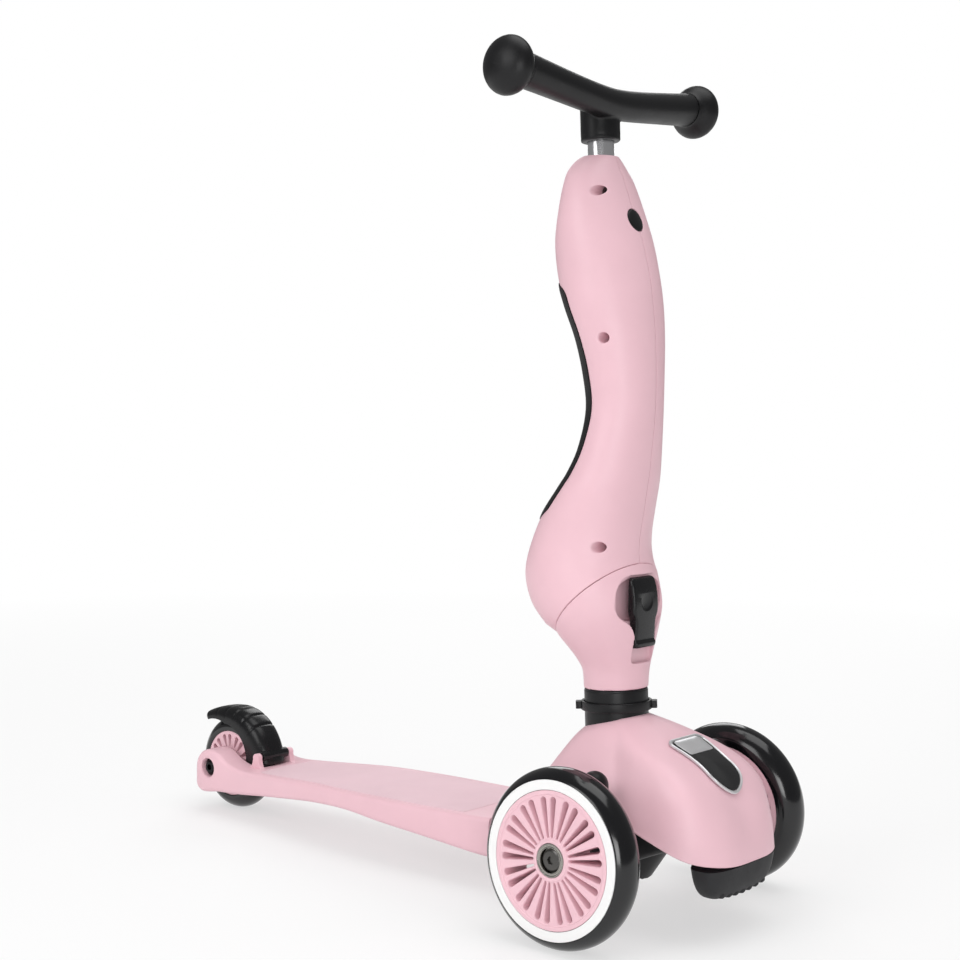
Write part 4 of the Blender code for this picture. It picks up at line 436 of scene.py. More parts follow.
# %% Sections
def in_mm(points):
    """Pairs of millimetres as pairs of metres."""
    return [(u * MM, v * MM) for u, v in points]


def block(low_u, high_u, low_v, high_v):
    """The corners of a rectangle."""
    return [(low_u, low_v), (high_u, low_v), (high_u, high_v), (low_u, high_v)]


def rod(radius, low, high):
    """The section of a plain round rod, to be turned."""
    return block(0.0, radius, low, high)


def arc(centre, radius, start, end, steps):
    """Points of an arc, angles in degrees."""
    angles = [math.radians(start + (end - start) * step / steps) for step in range(steps + 1)]
    return [(centre[0] + radius * math.cos(a), centre[1] + radius * math.sin(a)) for a in angles]


print("a rod's section:", rod(1.0, 0.0, 2.0))

# %% [markdown]
# ## Cutting and joining
# Holes and bosses are Boolean modifiers, made part of the mesh straight away so that the cutters
# can go. Where a moulding has soft inner corners, a bevel would have to guess which edges meet
# there, so the piece is rebuilt from small even faces and eased instead.

# %% Cutting and joining
def settle(piece):
    """Makes what the modifiers show the piece's own mesh."""
    graph = bpy.context.evaluated_depsgraph_get()
    mesh = bpy.data.meshes.new_from_object(piece.evaluated_get(graph))
    piece.modifiers.clear()
    piece.data = mesh


def combine(piece, others, operation):
    for other in others:
        step = piece.modifiers.new(other.name, "BOOLEAN")
        step.operation = operation
        step.solver = "EXACT"
        step.object = other
    settle(piece)


def remove(pieces):
    for piece in pieces:
        bpy.data.objects.remove(piece, do_unlink=True)


def cut(piece, *cutters):
    """Takes the cutters' shapes out of a piece, and removes the cutters."""
    combine(piece, cutters, "DIFFERENCE")
    remove(cutters)


def join(piece, *others):
    """Makes other objects part of a piece."""
    combine(piece, others, "UNION")
    remove(others)


def cut_hexagon(piece, half_width, foot, out, floor):
    """Cuts a hexagon socket down to its floor; the half width is from middle to corner."""
    hexagon = [(half_width * math.cos(a), half_width * math.sin(a)) for a in full_turn(6)]
    cut(piece, prism("socket", hexagon, foot, *across(out), floor, LONG))


def remeshed(piece, voxel, rounds):
    """Rebuilds a piece from small even faces and eases its edges, as a mould's edges are."""
    step = piece.modifiers.new("voxels", "REMESH")
    step.mode = "VOXEL"
    step.voxel_size = voxel
    ease = piece.modifiers.new("ease", "SMOOTH")
    ease.factor = 0.5
    ease.iterations = rounds
    settle(piece)


print("cutting, joining and easing are ready")

# %% [markdown]
# ## Finishing a piece
# Every piece is shaped round the front axle, so it is moved into the frame's own place first. It
# then gets its finish, smooth faces with sharp edges where they bend most and the body it rides
# on, and the nodes of the CAD model that it stands for are hidden.

# %% Finishing a piece
SHARP_ANGLE = math.radians(32.0)


def show(piece, slot, body, *nodes, finish=None):
    """Finishes a piece, sets it on its body and lets it stand for CAD nodes."""
    piece.data.transform(Matrix.Translation((0.0, AXLE_Y, 0.0)))
    piece.data.materials.clear()
    piece.data.materials.append(FINISHES[finish or slot])
    piece.data.shade_smooth()
    piece.data.set_sharp_from_angle(angle=SHARP_ANGLE)
    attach(piece, body)
    if nodes:
        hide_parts(*nodes)
    print(piece.name, len(piece.data.polygons), "faces")


print("edges are sharp from", round(math.degrees(SHARP_ANGLE)), "degrees")

# %% [markdown]
# ## Front wheels
# Each front wheel is a glossy cast tyre round a pink hub with slots in pairs, a white trim ring
# let into the outer shoulder, and two bearings. The tyre's crown is one arc. The slots are cut
# by tapered cutters with round ends that flare at the face, which gives each slot its soft lip.

# %% Wheel sizes
FRONT_TRACK_HALF = 105.0 * MM
FRONT_R = 60.0 * MM
FRONT_HALF_W = 14.0 * MM
FRONT_HUB_R = 45.6 * MM
TRIM_R = 52.5 * MM
TRIM_T = 1.1 * MM
FACE = math.sqrt(FRONT_HALF_W ** 2 - (TRIM_R - FRONT_R + FRONT_HALF_W) ** 2)
DISH = 0.8 * MM
# Half a tyre's seat and half a rear hub are this share of half the tyre's width
BEAD_SHARE = 0.93
BEARING_R = 11.0 * MM
BEARING_BORE_R = 4.3 * MM
BEARING_W = 7.0 * MM
CUP_R = 8.2 * MM
CUP = 3.3 * MM
BEARING_DEPTH = 0.1 * MM
INNER_DEPTH = 0.9 * MM
SHOULDER_R = 9.5 * MM
# Where a slot starts, its half widths at both ends, and the share of the pairs' spacing that a
# pair's two slots stand apart
SLOT_INNER_R = 14.7 * MM
SLOT_HALVES = (0.75 * MM, 2.2 * MM)
SLOT_SPREAD = 0.433
FRONT_SLOT_PAIRS = 13
FRONT_SLOT_R = 41.3 * MM
# How a slot flares at the face: height over the face and growth, in mm
SLOT_FLARE = ((-0.9, 0.0), (-0.35, 0.15), (0.0, 0.5), (2.0, 2.6))
HEXAGON_R = 2.9 * MM
# How far a tyre's crown turns to a side without a recess, in degrees
CROWN_TURN = 70.0
WHEEL_TURNS = 128
print("a front wheel's face lies", round(FACE / MM, 2), "mm out from its middle")

# %% [markdown]
# ## A tyre's section and a hub's slots
# Front and rear wheels share these. One slot in an Array modifier round an empty would do as well,
# but a front wheel's axle leans, and slots written at their own angles need no empty to lean too.

# %% Tyre and slots
def tyre_section(radius, half_width, bore, steps, recess_r=None, floor=None):
    """A tyre's section, with a recess in its outer shoulder if its radius and floor are given."""
    centre = radius - half_width
    bead = half_width * BEAD_SHARE
    if recess_r:
        start = math.degrees(math.acos((recess_r - centre) / half_width))
        points = [(bore, floor), (recess_r, floor)]
    else:
        start = CROWN_TURN
        points = [(bore, bead)]
    points += arc((centre, 0.0), half_width, start, -CROWN_TURN, steps)
    return rounded(points + [(bore, -bead)], 0.4 * MM, 2)


def joined(name, pieces):
    """Several separate objects as one."""
    shell = bmesh.new()
    for piece in pieces:
        shell.from_mesh(piece.data)
    remove(pieces)
    mesh = bpy.data.meshes.new(name)
    shell.to_mesh(mesh)
    shell.free()
    return placed(name, mesh)


def cut_slots(hub, centre, out, pairs, outer_r, face):
    """Cuts tapered slots in pairs round a hub, each flared where it meets the outer face."""
    side, other = across(out)
    levels = [(-LONG, 0.0)] + [(face + rise * MM, grow * MM) for rise, grow in SLOT_FLARE]
    inner_half, outer_half = SLOT_HALVES
    slots = []
    for pair in range(pairs):
        for sign in (-1, 1):
            angle = 2 * math.pi * (pair + sign * SLOT_SPREAD / 2) / pairs
            spoke = side * math.cos(angle) + other * math.sin(angle)
            flank = out.cross(spoke)
            rings = []
            for height, grow in levels:
                ends = arc((outer_r - outer_half, 0.0), outer_half + grow, -85, 85, 6)
                ends += arc((SLOT_INNER_R + inner_half, 0.0), inner_half + grow, 95, 265, 4)
                rings.append([centre + out * height + spoke * u + flank * v for u, v in ends])
            slots.append(loft("slot", rings))
    cut(hub, joined("slots", slots))


print("the slots stand in", FRONT_SLOT_PAIRS, "pairs round a front hub")

# %% [markdown]
# ## Both front wheels
# The two are mirror images, so one function makes either. The axle leans by the camber. The tyre,
# the hub and the bearing that shows are turned round that axle. The axle's bolt rides on the
# truck, because it doesn't turn with the wheel.

# %% Front wheels
def front_axle(sign):
    """The middle of a front wheel and the direction out of its face."""
    centre = Vector((sign * FRONT_TRACK_HALF, 0.0, FRONT_AXLE_Z))
    return centre, Vector((sign * math.cos(CAMBER), 0.0, math.sin(CAMBER)))


def front_wheel(sign, side):
    body = f"front_wheel_{side}"
    name = f"front_{side}"
    centre, out = front_axle(sign)
    bore = FRONT_HUB_R + GAP
    floor = FACE - TRIM_T
    section = tyre_section(FRONT_R, FRONT_HALF_W, bore, 28, TRIM_R + GAP, floor - GAP)
    show(turned(f"{name}_cast_tyre", section, centre, out, WHEEL_TURNS), "tyre", body,
         f"{name}_tyre")
    trim = rounded(block(bore, TRIM_R, floor, FACE), 0.35 * MM)
    show(turned(f"{name}_white_ring", trim, centre, out, WHEEL_TURNS), "white_plastic", body,
         f"{name}_trim_ring")

    outer_seat = FACE - BEARING_DEPTH - BEARING_W
    inner_seat = INNER_DEPTH + BEARING_W - FACE
    pocket = BEARING_R + GAP
    section = [
        (FRONT_HUB_R, -FACE), (FRONT_HUB_R, FACE), (42.9 * MM, FACE), (42.4 * MM, FACE - DISH),
        (14.2 * MM, FACE - DISH), (13.6 * MM, FACE), (pocket, FACE), (pocket, outer_seat - GAP),
        (SHOULDER_R, outer_seat - GAP), (SHOULDER_R, inner_seat + GAP), (pocket, inner_seat + GAP),
        (pocket, -FACE),
    ]
    hub = turned(f"{name}_slotted_hub", rounded(section, 0.35 * MM, 2), centre, out)
    cut_slots(hub, centre, out, FRONT_SLOT_PAIRS, FRONT_SLOT_R, FACE - DISH)
    show(hub, "pink_plastic", body, f"{name}_hub")

    shield = outer_seat + BEARING_W
    groove = shield - 0.35 * MM
    section = [
        (BEARING_BORE_R, outer_seat), (BEARING_R, outer_seat), (BEARING_R, shield),
        (10.2 * MM, shield), (10.0 * MM, groove), (8.9 * MM, groove), (8.75 * MM, shield),
        (CUP_R, shield), (CUP_R, shield - CUP), (BEARING_BORE_R, shield - CUP),
    ]
    show(turned(f"{name}_outer_race", rounded(section, 0.2 * MM, 2), centre, out), "bearing_steel",
         body, f"{name}_bearing_outer")

    head = shield - CUP + GAP
    section = [(0.0, head - 40 * MM), (4 * MM, head - 40 * MM), (4 * MM, head), (7.6 * MM, head),
               (7.6 * MM, head + 1.3 * MM), (6.1 * MM, head + 2.2 * MM), (0.0, head + 2.2 * MM)]
    bolt = turned(f"{name}_socket_bolt", rounded(section, 0.4 * MM), centre, out)
    cut_hexagon(bolt, HEXAGON_R, centre, out, head + 0.66 * MM)
    show(bolt, "zinc_steel", "truck", f"{name}_axle_bolt", finish="dark_steel")


for sign, side in SIDES:
    front_wheel(sign, side)

# %% [markdown]
# ## Rear wheel
# The rear wheel is a smaller one of the same kind, running between two arms of the deck, so only
# its slots' outer ends and its crown show under the fender.

# %% Rear wheel
REAR_R = 40.0 * MM
REAR_HALF_W = 12.0 * MM
REAR_HUB_R = 28.0 * MM
REAR_SLOT_PAIRS = 9
REAR_SLOT_R = 25.6 * MM
# Where the two bearings' inner ends lie, from the wheel's middle
REAR_SEAT = 4.0 * MM


def rear_wheel():
    section = tyre_section(REAR_R, REAR_HALF_W, REAR_HUB_R + GAP, 24)
    show(turned("rear_cast_tyre", section, REAR_AXLE, X), "tyre", "rear_wheel", "rear_tyre")
    half = REAR_HALF_W * BEAD_SHARE
    pocket = BEARING_R + GAP
    step = REAR_SEAT - GAP
    section = [
        (REAR_HUB_R, -half), (REAR_HUB_R, half), (pocket, half), (pocket, step),
        (SHOULDER_R, step), (SHOULDER_R, -step), (pocket, -step), (pocket, -half)]
    hub = turned("rear_slotted_hub", rounded(section, 0.5 * MM, 2), REAR_AXLE, X)
    cut_slots(hub, REAR_AXLE, X, REAR_SLOT_PAIRS, REAR_SLOT_R, half)
    show(hub, "pink_plastic", "rear_wheel", "rear_hub")


rear_wheel()

# %% [markdown]
# ## The hood
# The hood is one thin moulded skin from the column's collar down over the truck: a flat-topped
# nose that rolls over into flanks, and a tail that runs out onto the deck. It is written as
# profiles at angles round the column, each going from the collar to the foot, and every ring is a
# smooth curve through them. A subdivision surface over a few boxes would be quicker, but it
# wouldn't keep the foot's edge where the wheels need it.

# %% Hood profiles
HOOD_Y = 32.9 * MM
HOOD_NECK = 20.0 * MM
HOOD_WALL = 2.4 * MM
HOOD_COLLAR_Z = 134.5 * MM
HOOD_COLLAR_SLOPE = math.radians(17.4)
COLLAR_R = 22.9 * MM
# Angle from straight ahead, then distance out and height of five points, in mm
HOOD_PROFILES = (
    (0.0, 57.5, 125.6, 88.7, 107.5, 103.5, 88.5, 113.5, 67.0, 117.0, 52.5),
    (15.0, 58.5, 126.0, 90.0, 109.5, 106.0, 91.5, 115.0, 70.0, 117.5, 53.0),
    (28.0, 57.0, 126.3, 85.0, 114.0, 101.0, 99.0, 106.5, 79.0, 109.0, 57.0),
    (40.0, 47.5, 129.0, 66.0, 119.0, 77.0, 103.5, 84.0, 86.0, 91.5, 68.0),
    (54.0, 33.0, 131.5, 45.0, 122.5, 54.0, 108.5, 63.0, 94.0, 73.0, 79.0),
    (90.0, 28.5, 129.0, 36.0, 119.0, 43.5, 107.0, 51.0, 95.0, 58.0, 83.5),
    (120.0, 29.0, 124.5, 38.5, 113.0, 46.0, 99.5, 54.0, 84.0, 62.0, 67.0),
    (150.0, 30.0, 118.5, 43.0, 101.5, 57.0, 84.0, 72.0, 69.5, 87.0, 60.0),
    (180.0, 32.0, 110.0, 46.0, 88.0, 60.0, 73.0, 76.0, 63.0, 90.0, 57.5),
)


def smooth_value(before, start, end, after, share):
    """A value on a smooth curve that passes through start and end."""
    slope_in = (end - before) / 2
    slope_out = (after - start) / 2
    square = share * share
    cube = square * share
    return (start * (2 * cube - 3 * square + 1) + slope_in * (cube - 2 * square + share)
            + end * (3 * square - 2 * cube) + slope_out * (cube - square))


def smooth_row(rows, place):
    """A row between the rows of a table; a place of 2.5 is midway between rows 2 and 3."""
    first = min(int(place), len(rows) - 2)
    before = rows[max(first - 1, 0)]
    after = rows[min(first + 2, len(rows) - 1)]
    return [smooth_value(*values, place - first)
            for values in zip(before, rows[first], rows[first + 1], after)]


def smooth_rows(rows, steps=6):
    """A table filled in with so many steps from each row to the next."""
    return [smooth_row(rows, place / steps) for place in range((len(rows) - 1) * steps + 1)]


print("the hood has", len(HOOD_PROFILES), "profiles over half a turn")

# %% [markdown]
# ## The hood's skin
# The outer face comes straight from the profiles. The inner one is the same face moved inwards by
# the wall, which a Solidify modifier would do too, but not with a rounded foot.

# %% Hood
def hood_point(angle, share):
    """A point of the outer face: share 0 inside the collar's hole, 1 at the foot."""
    turn = abs(math.degrees(math.remainder(angle, 2 * math.pi)))
    rows = [HOOD_PROFILES[1], *HOOD_PROFILES, HOOD_PROFILES[-2]]
    place = 1
    while turn > HOOD_PROFILES[place][0]:
        place += 1
    low, high = HOOD_PROFILES[place - 1][0], HOOD_PROFILES[place][0]
    row = smooth_row(rows, place + (turn - low) / (high - low))[1:]
    neck_z = HOOD_COLLAR_Z + math.tan(HOOD_COLLAR_SLOPE) * HOOD_NECK * math.cos(angle)
    profile = [(HOOD_NECK, neck_z), *in_mm(zip(row[::2], row[1::2]))]
    out, height = smooth_row(profile, share * (len(profile) - 1))
    return Vector((math.sin(angle) * out, HOOD_Y - math.cos(angle) * out, height))


def hood_square(angle, share):
    """The direction square to the hood's outer face."""
    step = 0.01
    round_it = hood_point(angle + step, share) - hood_point(angle - step, share)
    low, high = max(share - step, 0.0), min(share + step, 1.0)
    down_it = hood_point(angle, high) - hood_point(angle, low)
    return down_it.cross(round_it).normalized()


def make_hood():
    steps = 34
    angles = full_turn(144)
    levels = [step / steps for step in range(steps + 1)]
    outer = [[hood_point(angle, share) for angle in angles] for share in levels]
    square = [[hood_square(angle, share) for angle in angles] for share in levels]
    if square[-1][0].y > 0:
        square = [[-direction for direction in ring] for ring in square]
    inner = [[point - direction * HOOD_WALL for point, direction in zip(ring, line)]
             for ring, line in zip(outer, square)]
    foot = []
    for turn in (45.0, 90.0, 135.0):
        drop = math.sin(math.radians(turn)) * HOOD_WALL * 0.4
        depth = HOOD_WALL * (1 - math.cos(math.radians(turn))) / 2
        foot.append([point - direction * depth - Z * drop
                     for point, direction in zip(outer[-1], square[-1])])
    rings = outer[:-1] + [[point + Z * HOOD_WALL * 0.3 for point in outer[-1]]]
    rings += [[point + Z * HOOD_WALL * 0.4 for point in ring] for ring in foot]
    hood = loft("shaped_hood", rings + inner[::-1], wrap=True)
    cut(hood, turned("hole", rod(COLLAR_R + GAP, 90 * MM, LONG), COLUMN_FOOT, COLUMN_UP))
    show(hood, "pink_plastic", "chassis", "hood")


make_hood()

# %% [markdown]
# ## The plate on the nose
# The plate is a black gloss field in a raised silver frame, with a plain silver band at its upper
# end. Its outline is drawn flat, measured across and down the hood's middle line, and every point
# is then laid onto the hood, so the plate keeps its round lower end where the nose turns down.

# %% Onto the hood
PLATE_TOP_Y = -23.0 * MM
PLATE_LIFT = 0.7 * MM


def narrowed(low, high, rounds, is_low):
    """Halves a range again and again, and gives the place where is_low stops being true."""
    for _ in range(rounds):
        middle = (low + high) / 2
        if is_low(middle):
            low = middle
        else:
            high = middle
    return high


def hood_over(x, y):
    """The point of the hood straight above x and y, and the direction square to it."""
    angle = math.atan2(x, HOOD_Y - y)
    goal = math.hypot(x, HOOD_Y - y)

    def is_inside(share):
        point = hood_point(angle, share)
        return math.hypot(point.x, point.y - HOOD_Y) < goal

    share = narrowed(0.0, 1.0, 22, is_inside)
    square = hood_square(angle, share)
    return hood_point(angle, share), square if square.z > 0 else -square


def measure_spine():
    """Pairs of distance down the hood's middle line and y, from the plate's upper end."""
    pairs = [(0.0, PLATE_TOP_Y)]
    last = hood_over(0.0, PLATE_TOP_Y)[0]
    for step in range(1, 56):
        y = PLATE_TOP_Y - step * MM
        point = hood_over(0.0, y)[0]
        pairs.append((pairs[-1][0] + (point - last).length, y))
        last = point
    return pairs


SPINE = measure_spine()


def spine_y(distance):
    """The y of a place on the middle line, from its distance down the line."""
    for (start, start_y), (end, end_y) in zip(SPINE, SPINE[1:]):
        if distance <= end:
            return start_y + (end_y - start_y) * (distance - start) / (end - start)
    return SPINE[-1][1]


print("the plate can run", round(SPINE[-1][0] / MM), "mm down the hood")

# %% [markdown]
# ## Rim, field and band
# Each is a loft between copies of one outline that shrink and rise a little, so a rim's rounded
# edge and a field's soft shoulder are both a short table of levels.

# %% Nose plate
# In mm down the hood's middle line
PLATE_LONG = 55.0
PLATE_END_R = 17.5
BAND_MIDDLE = 10.6
# Levels of rim, face and band: the outline's share and the lift over the hood in mm
RIM_LEVELS = ((0.93, 0.0), (0.99, 0.1), (1.0, 0.5), (1.0, 1.2), (0.985, 1.8), (0.96, 2.0),
              (0.935, 1.8), (0.92, 1.3), (0.92, 0.0))
FACE_LEVELS = ((0.02, 0.1), (0.5, 0.1), (0.91, 0.1), (0.91, 0.9), (0.89, 1.25), (0.82, 1.35),
               (0.5, 1.4), (0.02, 1.4))
BAND_LEVELS = ((0.02, 1.2), (0.5, 1.2), (0.98, 1.2), (1.0, 1.5), (0.97, 1.65), (0.5, 1.7),
               (0.02, 1.7))


def laid(outline, middle, share, lift):
    """An outline of points across and down, in mm, scaled about its middle and laid on the hood."""
    ring = []
    for u, v in outline:
        point, square = hood_over(u * share * MM, spine_y((middle + (v - middle) * share) * MM))
        ring.append(point + square * (PLATE_LIFT + lift * MM))
    return ring


def whole(right):
    """An outline made of its right half and the half's mirror image."""
    return right + [(-u, v) for u, v in reversed(right) if u > 0.01]


def make_plate():
    right = arc((14.5, 5.0), 5.0, -90, 0, 6)
    right += [(19.1, 9.0), (18.4, 14.0), (17.7, 20.0), (17.3, 26.0), (17.2, 31.0), (17.4, 35.0)]
    right += arc((0.0, PLATE_LONG - PLATE_END_R), PLATE_END_R, 0, 90, 14)
    outline, middle = whole(right), PLATE_LONG / 2
    rim = loft("nose_plate_rim", [laid(outline, middle, *level) for level in RIM_LEVELS], wrap=True)
    show(rim, "badge_plastic", "chassis", finish="frame_silver")
    face = loft("nose_plate_face", [laid(outline, middle, *level) for level in FACE_LEVELS])
    show(face, "badge_plastic", "chassis", "badge")
    outline = whole(arc((12.0, 6.0), 3.4, -90, 0, 5) + arc((12.4, 16.6), 2.0, 0, 90, 4))
    band = loft("nose_plate_band", [laid(outline, BAND_MIDDLE, *level) for level in BAND_LEVELS])
    show(band, "badge_plastic", "chassis", finish="frame_silver")


make_plate()

# %% [markdown]
# ## The bumper under the nose
# A soft black block hangs under the nose, where the scooter meets kerbs. It is a stack of rounded
# squares that grows towards the top. Round ribs run across its underside, front to back, and
# show as a row of small teeth along its lower edge.

# %% Bumper
# Height, half width, and y of the front and the back, in mm; the first rows are one smooth curve
BUMPER_STATIONS = (
    (28.6, 25.0, -71.5, -60.0),
    (30.6, 31.5, -75.0, -57.5),
    (35.0, 36.5, -78.0, -55.5),
    (42.0, 40.0, -79.8, -54.0),
    (50.5, 42.0, -80.5, -53.0),
    (52.0, 34.0, -72.0, -51.0),
    (60.0, 22.0, -62.0, -47.0),
    (62.0, 16.0, -57.0, -41.0),
    (86.2, 16.0, -50.0, -39.5),
)
SMOOTH_STATIONS = 5
# A rounded square is a circle whose sine and cosine are raised to this power
SQUARENESS = 0.6
# How far apart the ribs stand, and a rib's section as radius and y, in mm
RIB_PITCH = 8.4
RIB_SECTION = ((0.0, -76.2), (1.4, -76.2), (2.6, -75.0), (3.0, -73.0), (3.0, -60.0), (0.0, -59.0))


def squared(value, power):
    """A sine or cosine raised to a power, with its sign kept."""
    return math.copysign(abs(value) ** power, value)


def make_bumper():
    rows = smooth_rows(BUMPER_STATIONS[:SMOOTH_STATIONS], 5)
    rows += BUMPER_STATIONS[SMOOTH_STATIONS:]
    angles = [2 * math.pi * (n + 0.5) / 64 for n in range(64)]
    rings = []
    for height, half_width, front, back in rows:
        middle, half = (front + back) / 2, (back - front) / 2
        rings.append([Vector((squared(math.cos(a), SQUARENESS) * half_width,
                              middle + squared(math.sin(a), SQUARENESS) * half, height)) * MM
                      for a in angles])
    bumper = loft("toothed_bumper", rings)
    ribs = []
    for n in range(-3, 4):
        place = Vector((n * RIB_PITCH, 0.0, 31.1 + 0.2 * n * n)) * MM
        ribs.append(turned("rib", in_mm(RIB_SECTION), place, Y, 20))
    join(bumper, *ribs)
    show(bumper, "black_rubber", "chassis", "nose_bumper")


make_bumper()

# %% [markdown]
# ## The collar
# The column stands in a plain black sleeve with a spring clip round it. Both are turned, and the
# clip's two lugs are joined on.

# %% Collar
def along_column(height):
    """Distance along the leaning column from the ground to a height."""
    return height / math.cos(RAKE)


HOLDER_TOP_Z = 97.0 * MM
POST_BORE_R = 16.3 * MM
# Distances along the column
COLLAR_LOW = along_column(HOLDER_TOP_Z) - 1.5 * MM
COLLAR_HIGH = along_column(156.2 * MM)
CLIP_MIDDLE = along_column(144.0 * MM)
CLIP_HALF = 3.25 * MM
# Angles round the column from straight ahead
LUG_ANGLES = (math.radians(-146.0), math.radians(33.0))


def make_collar():
    rim = COLLAR_R - 0.3 * MM
    section = [(POST_BORE_R, COLLAR_LOW), (COLLAR_R, COLLAR_LOW), (COLLAR_R, COLLAR_HIGH - 1.6 * MM),
               (rim, COLLAR_HIGH - 1.3 * MM), (rim, COLLAR_HIGH), (POST_BORE_R, COLLAR_HIGH)]
    show(turned("column_sleeve", rounded(section, 0.5 * MM, 2), COLUMN_FOOT, COLUMN_UP),
         "black_plastic", "chassis", "collar_sleeve")
    low, high = CLIP_MIDDLE - CLIP_HALF, CLIP_MIDDLE + CLIP_HALF
    section = block(COLLAR_R + GAP, 25.6 * MM, low, high)
    clip = turned("spring_clip", rounded(section, 0.9 * MM), COLUMN_FOOT, COLUMN_UP)
    outline = rounded(block(24.2 * MM, 29.1 * MM, -4 * MM, 4 * MM), 1.2 * MM)
    lugs = []
    for angle in LUG_ANGLES:
        spoke = X * math.sin(angle) + COLUMN_FRONT * math.cos(angle)
        lugs.append(prism("lug", outline, COLUMN_FOOT, spoke, COLUMN_UP.cross(spoke),
                          low + 0.6 * MM, high - 0.6 * MM))
    join(clip, *lugs)
    show(clip, "black_plastic", "chassis", "collar_clip")


make_collar()

# %% [markdown]
# ## The neck
# The neck stands on the collar and widens up to the slanting face on which the column folds. It
# is a loft of ovals, and the latch's pocket is cut into its front.

# %% Neck
# Front y and z, rear y and z, and half width of each oval, in mm
NECK_STATIONS = (
    (10.6, 152.0, 56.4, 152.0, 22.9),
    (9.9, 170.0, 57.5, 167.5, 24.2),
    (8.1, 185.0, 60.5, 174.5, 29.0),
    (6.2, 202.0, 64.0, 180.0, 35.5),
    (5.6, 220.0, 67.8, 184.5, 41.5),
    (9.8, 235.0, 70.0, 187.2, 45.2),
)
FOLD_LEAN = math.radians(45.0)
FOLD_CENTRE = Vector((0.0, 42.9 * MM, 218.4 * MM))
FOLD_UP = Vector((0.0, math.sin(FOLD_LEAN), math.cos(FOLD_LEAN)))
FOLD_FRONT = Vector((0.0, -math.cos(FOLD_LEAN), math.sin(FOLD_LEAN)))
FOLD_HALF_DEPTH = 40.7 * MM
FOLD_HALF_W = 47.1 * MM
POST_TOP_Z = 192.0 * MM
# Right halves of the pocket's two depths, listed upwards, in mm
LATCH_POCKET = (
    (12.5, 176.5), (12.5, 197.0), (16.5, 204.5), (25.0, 209.0), (29.0, 216.0),
    (29.0, 227.0), (24.5, 235.5), (13.0, 239.0),
)
LATCH_WINGS = (
    (12.5, 206.5), (16.0, 207.0), (24.0, 211.0), (27.0, 217.0), (27.0, 226.5), (23.0, 233.5),
    (12.5, 236.5),
)
LATCH_FLOOR = 15.0 * MM
WING_FLOOR = 21.5 * MM


def middle_and_half(row):
    """The middle of a station's oval, and the way from there to its rear point."""
    front = Vector((0.0, row[0], row[1])) * MM
    rear = Vector((0.0, row[2], row[3])) * MM
    return (front + rear) / 2, (rear - front) / 2


def oval(row, angles):
    """Points of a station's oval, counted from its rear."""
    middle, half = middle_and_half(row)
    return [middle + half * math.cos(a) + X * (row[4] * MM) * math.sin(a) for a in angles]


def fold_oval(height, angles, inset=0.0):
    """An oval square to the fold's axis, at a height over the fold's face."""
    middle = FOLD_CENTRE + FOLD_UP * height
    return [middle - FOLD_FRONT * (FOLD_HALF_DEPTH - inset) * math.cos(a)
            + X * (FOLD_HALF_W - inset) * math.sin(a) for a in angles]


def both_sides(half):
    """A closed outline in metres from its right half in mm, with its corners rounded."""
    return rounded(in_mm(half) + in_mm([(-u, v) for u, v in reversed(half)]), 4.0 * MM, 4)


def make_neck():
    angles = full_turn(96)
    rings = [oval(row, angles) for row in smooth_rows(NECK_STATIONS)]
    rings.append(fold_oval(-GAP / 2, angles))
    neck = loft("neck_housing", rings)
    bore = rod(POST_BORE_R, 0.0, along_column(POST_TOP_Z) + GAP)
    cut(neck, turned("foot", rod(60 * MM, 0.0, COLLAR_HIGH + GAP), COLUMN_FOOT, COLUMN_UP, 48),
        turned("bore", bore, COLUMN_FOOT, COLUMN_UP, 48),
        prism("pocket", both_sides(LATCH_POCKET), Vector(), -X, Z, -LONG, LATCH_FLOOR),
        prism("wings", both_sides(LATCH_WINGS), Vector(), -X, Z, -LONG, WING_FLOOR))
    remeshed(neck, 0.7 * MM, 5)
    show(neck, "pink_plastic", "chassis", "neck_shell")


make_neck()

# %% [markdown]
# ## The latch
# A black slide in the neck's pocket, pulled down to let the column fold. Its face follows the
# neck's front a little behind it, and it ends in a grip lip. It is a loft of rounded bars from
# the lip up, with a thumb rest pressed into its wide part.

# %% Latch
# Height, half width and y of the face, from the lip up, in mm
LATCH_STATIONS = (
    (187.4, 10.2, 9.4), (188.0, 11.4, 8.0), (189.6, 11.8, 7.2), (191.4, 11.8, 7.3),
    (193.0, 11.8, 8.4), (197.0, 11.8, 8.2), (206.0, 11.8, 7.7), (213.0, 14.4, 7.5),
    (220.0, 14.5, 7.6), (228.0, 14.5, 8.6), (233.0, 14.3, 9.9), (236.0, 13.4, 11.0),
    (237.3, 11.8, 12.6),
)
# The thumb rest's section about a line towards the rear, in mm
THUMB_REST = ((0.0, 6.4), (8.6, 6.4), (7.0, 7.9), (5.4, 8.3), (0.0, 8.5))
THUMB_REST_Z = 220.5 * MM


def make_latch():
    back = LATCH_FLOOR - GAP
    rings = []
    for height, half_width, face in smooth_rows(LATCH_STATIONS, 4):
        outline = rounded(block(-half_width * MM, half_width * MM, face * MM, back), 2.2 * MM, 4)
        rings.append([Vector((x, y, height * MM)) for x, y in outline])
    slide = loft("latch_slide", rings)
    tab = block(8.4 * MM, 12.6 * MM, 227 * MM, 230.5 * MM)
    join(slide, prism("tab", tab, Vector(), X, Z, -(LATCH_FLOOR + 4.2 * MM), -(back - 1.5 * MM)))
    cut(slide, turned("scoop", in_mm(THUMB_REST), Vector((0.0, 0.0, THUMB_REST_Z)), Y, 72))
    show(slide, "black_plastic", "latch", "release_latch", finish="gloss_black")


make_latch()

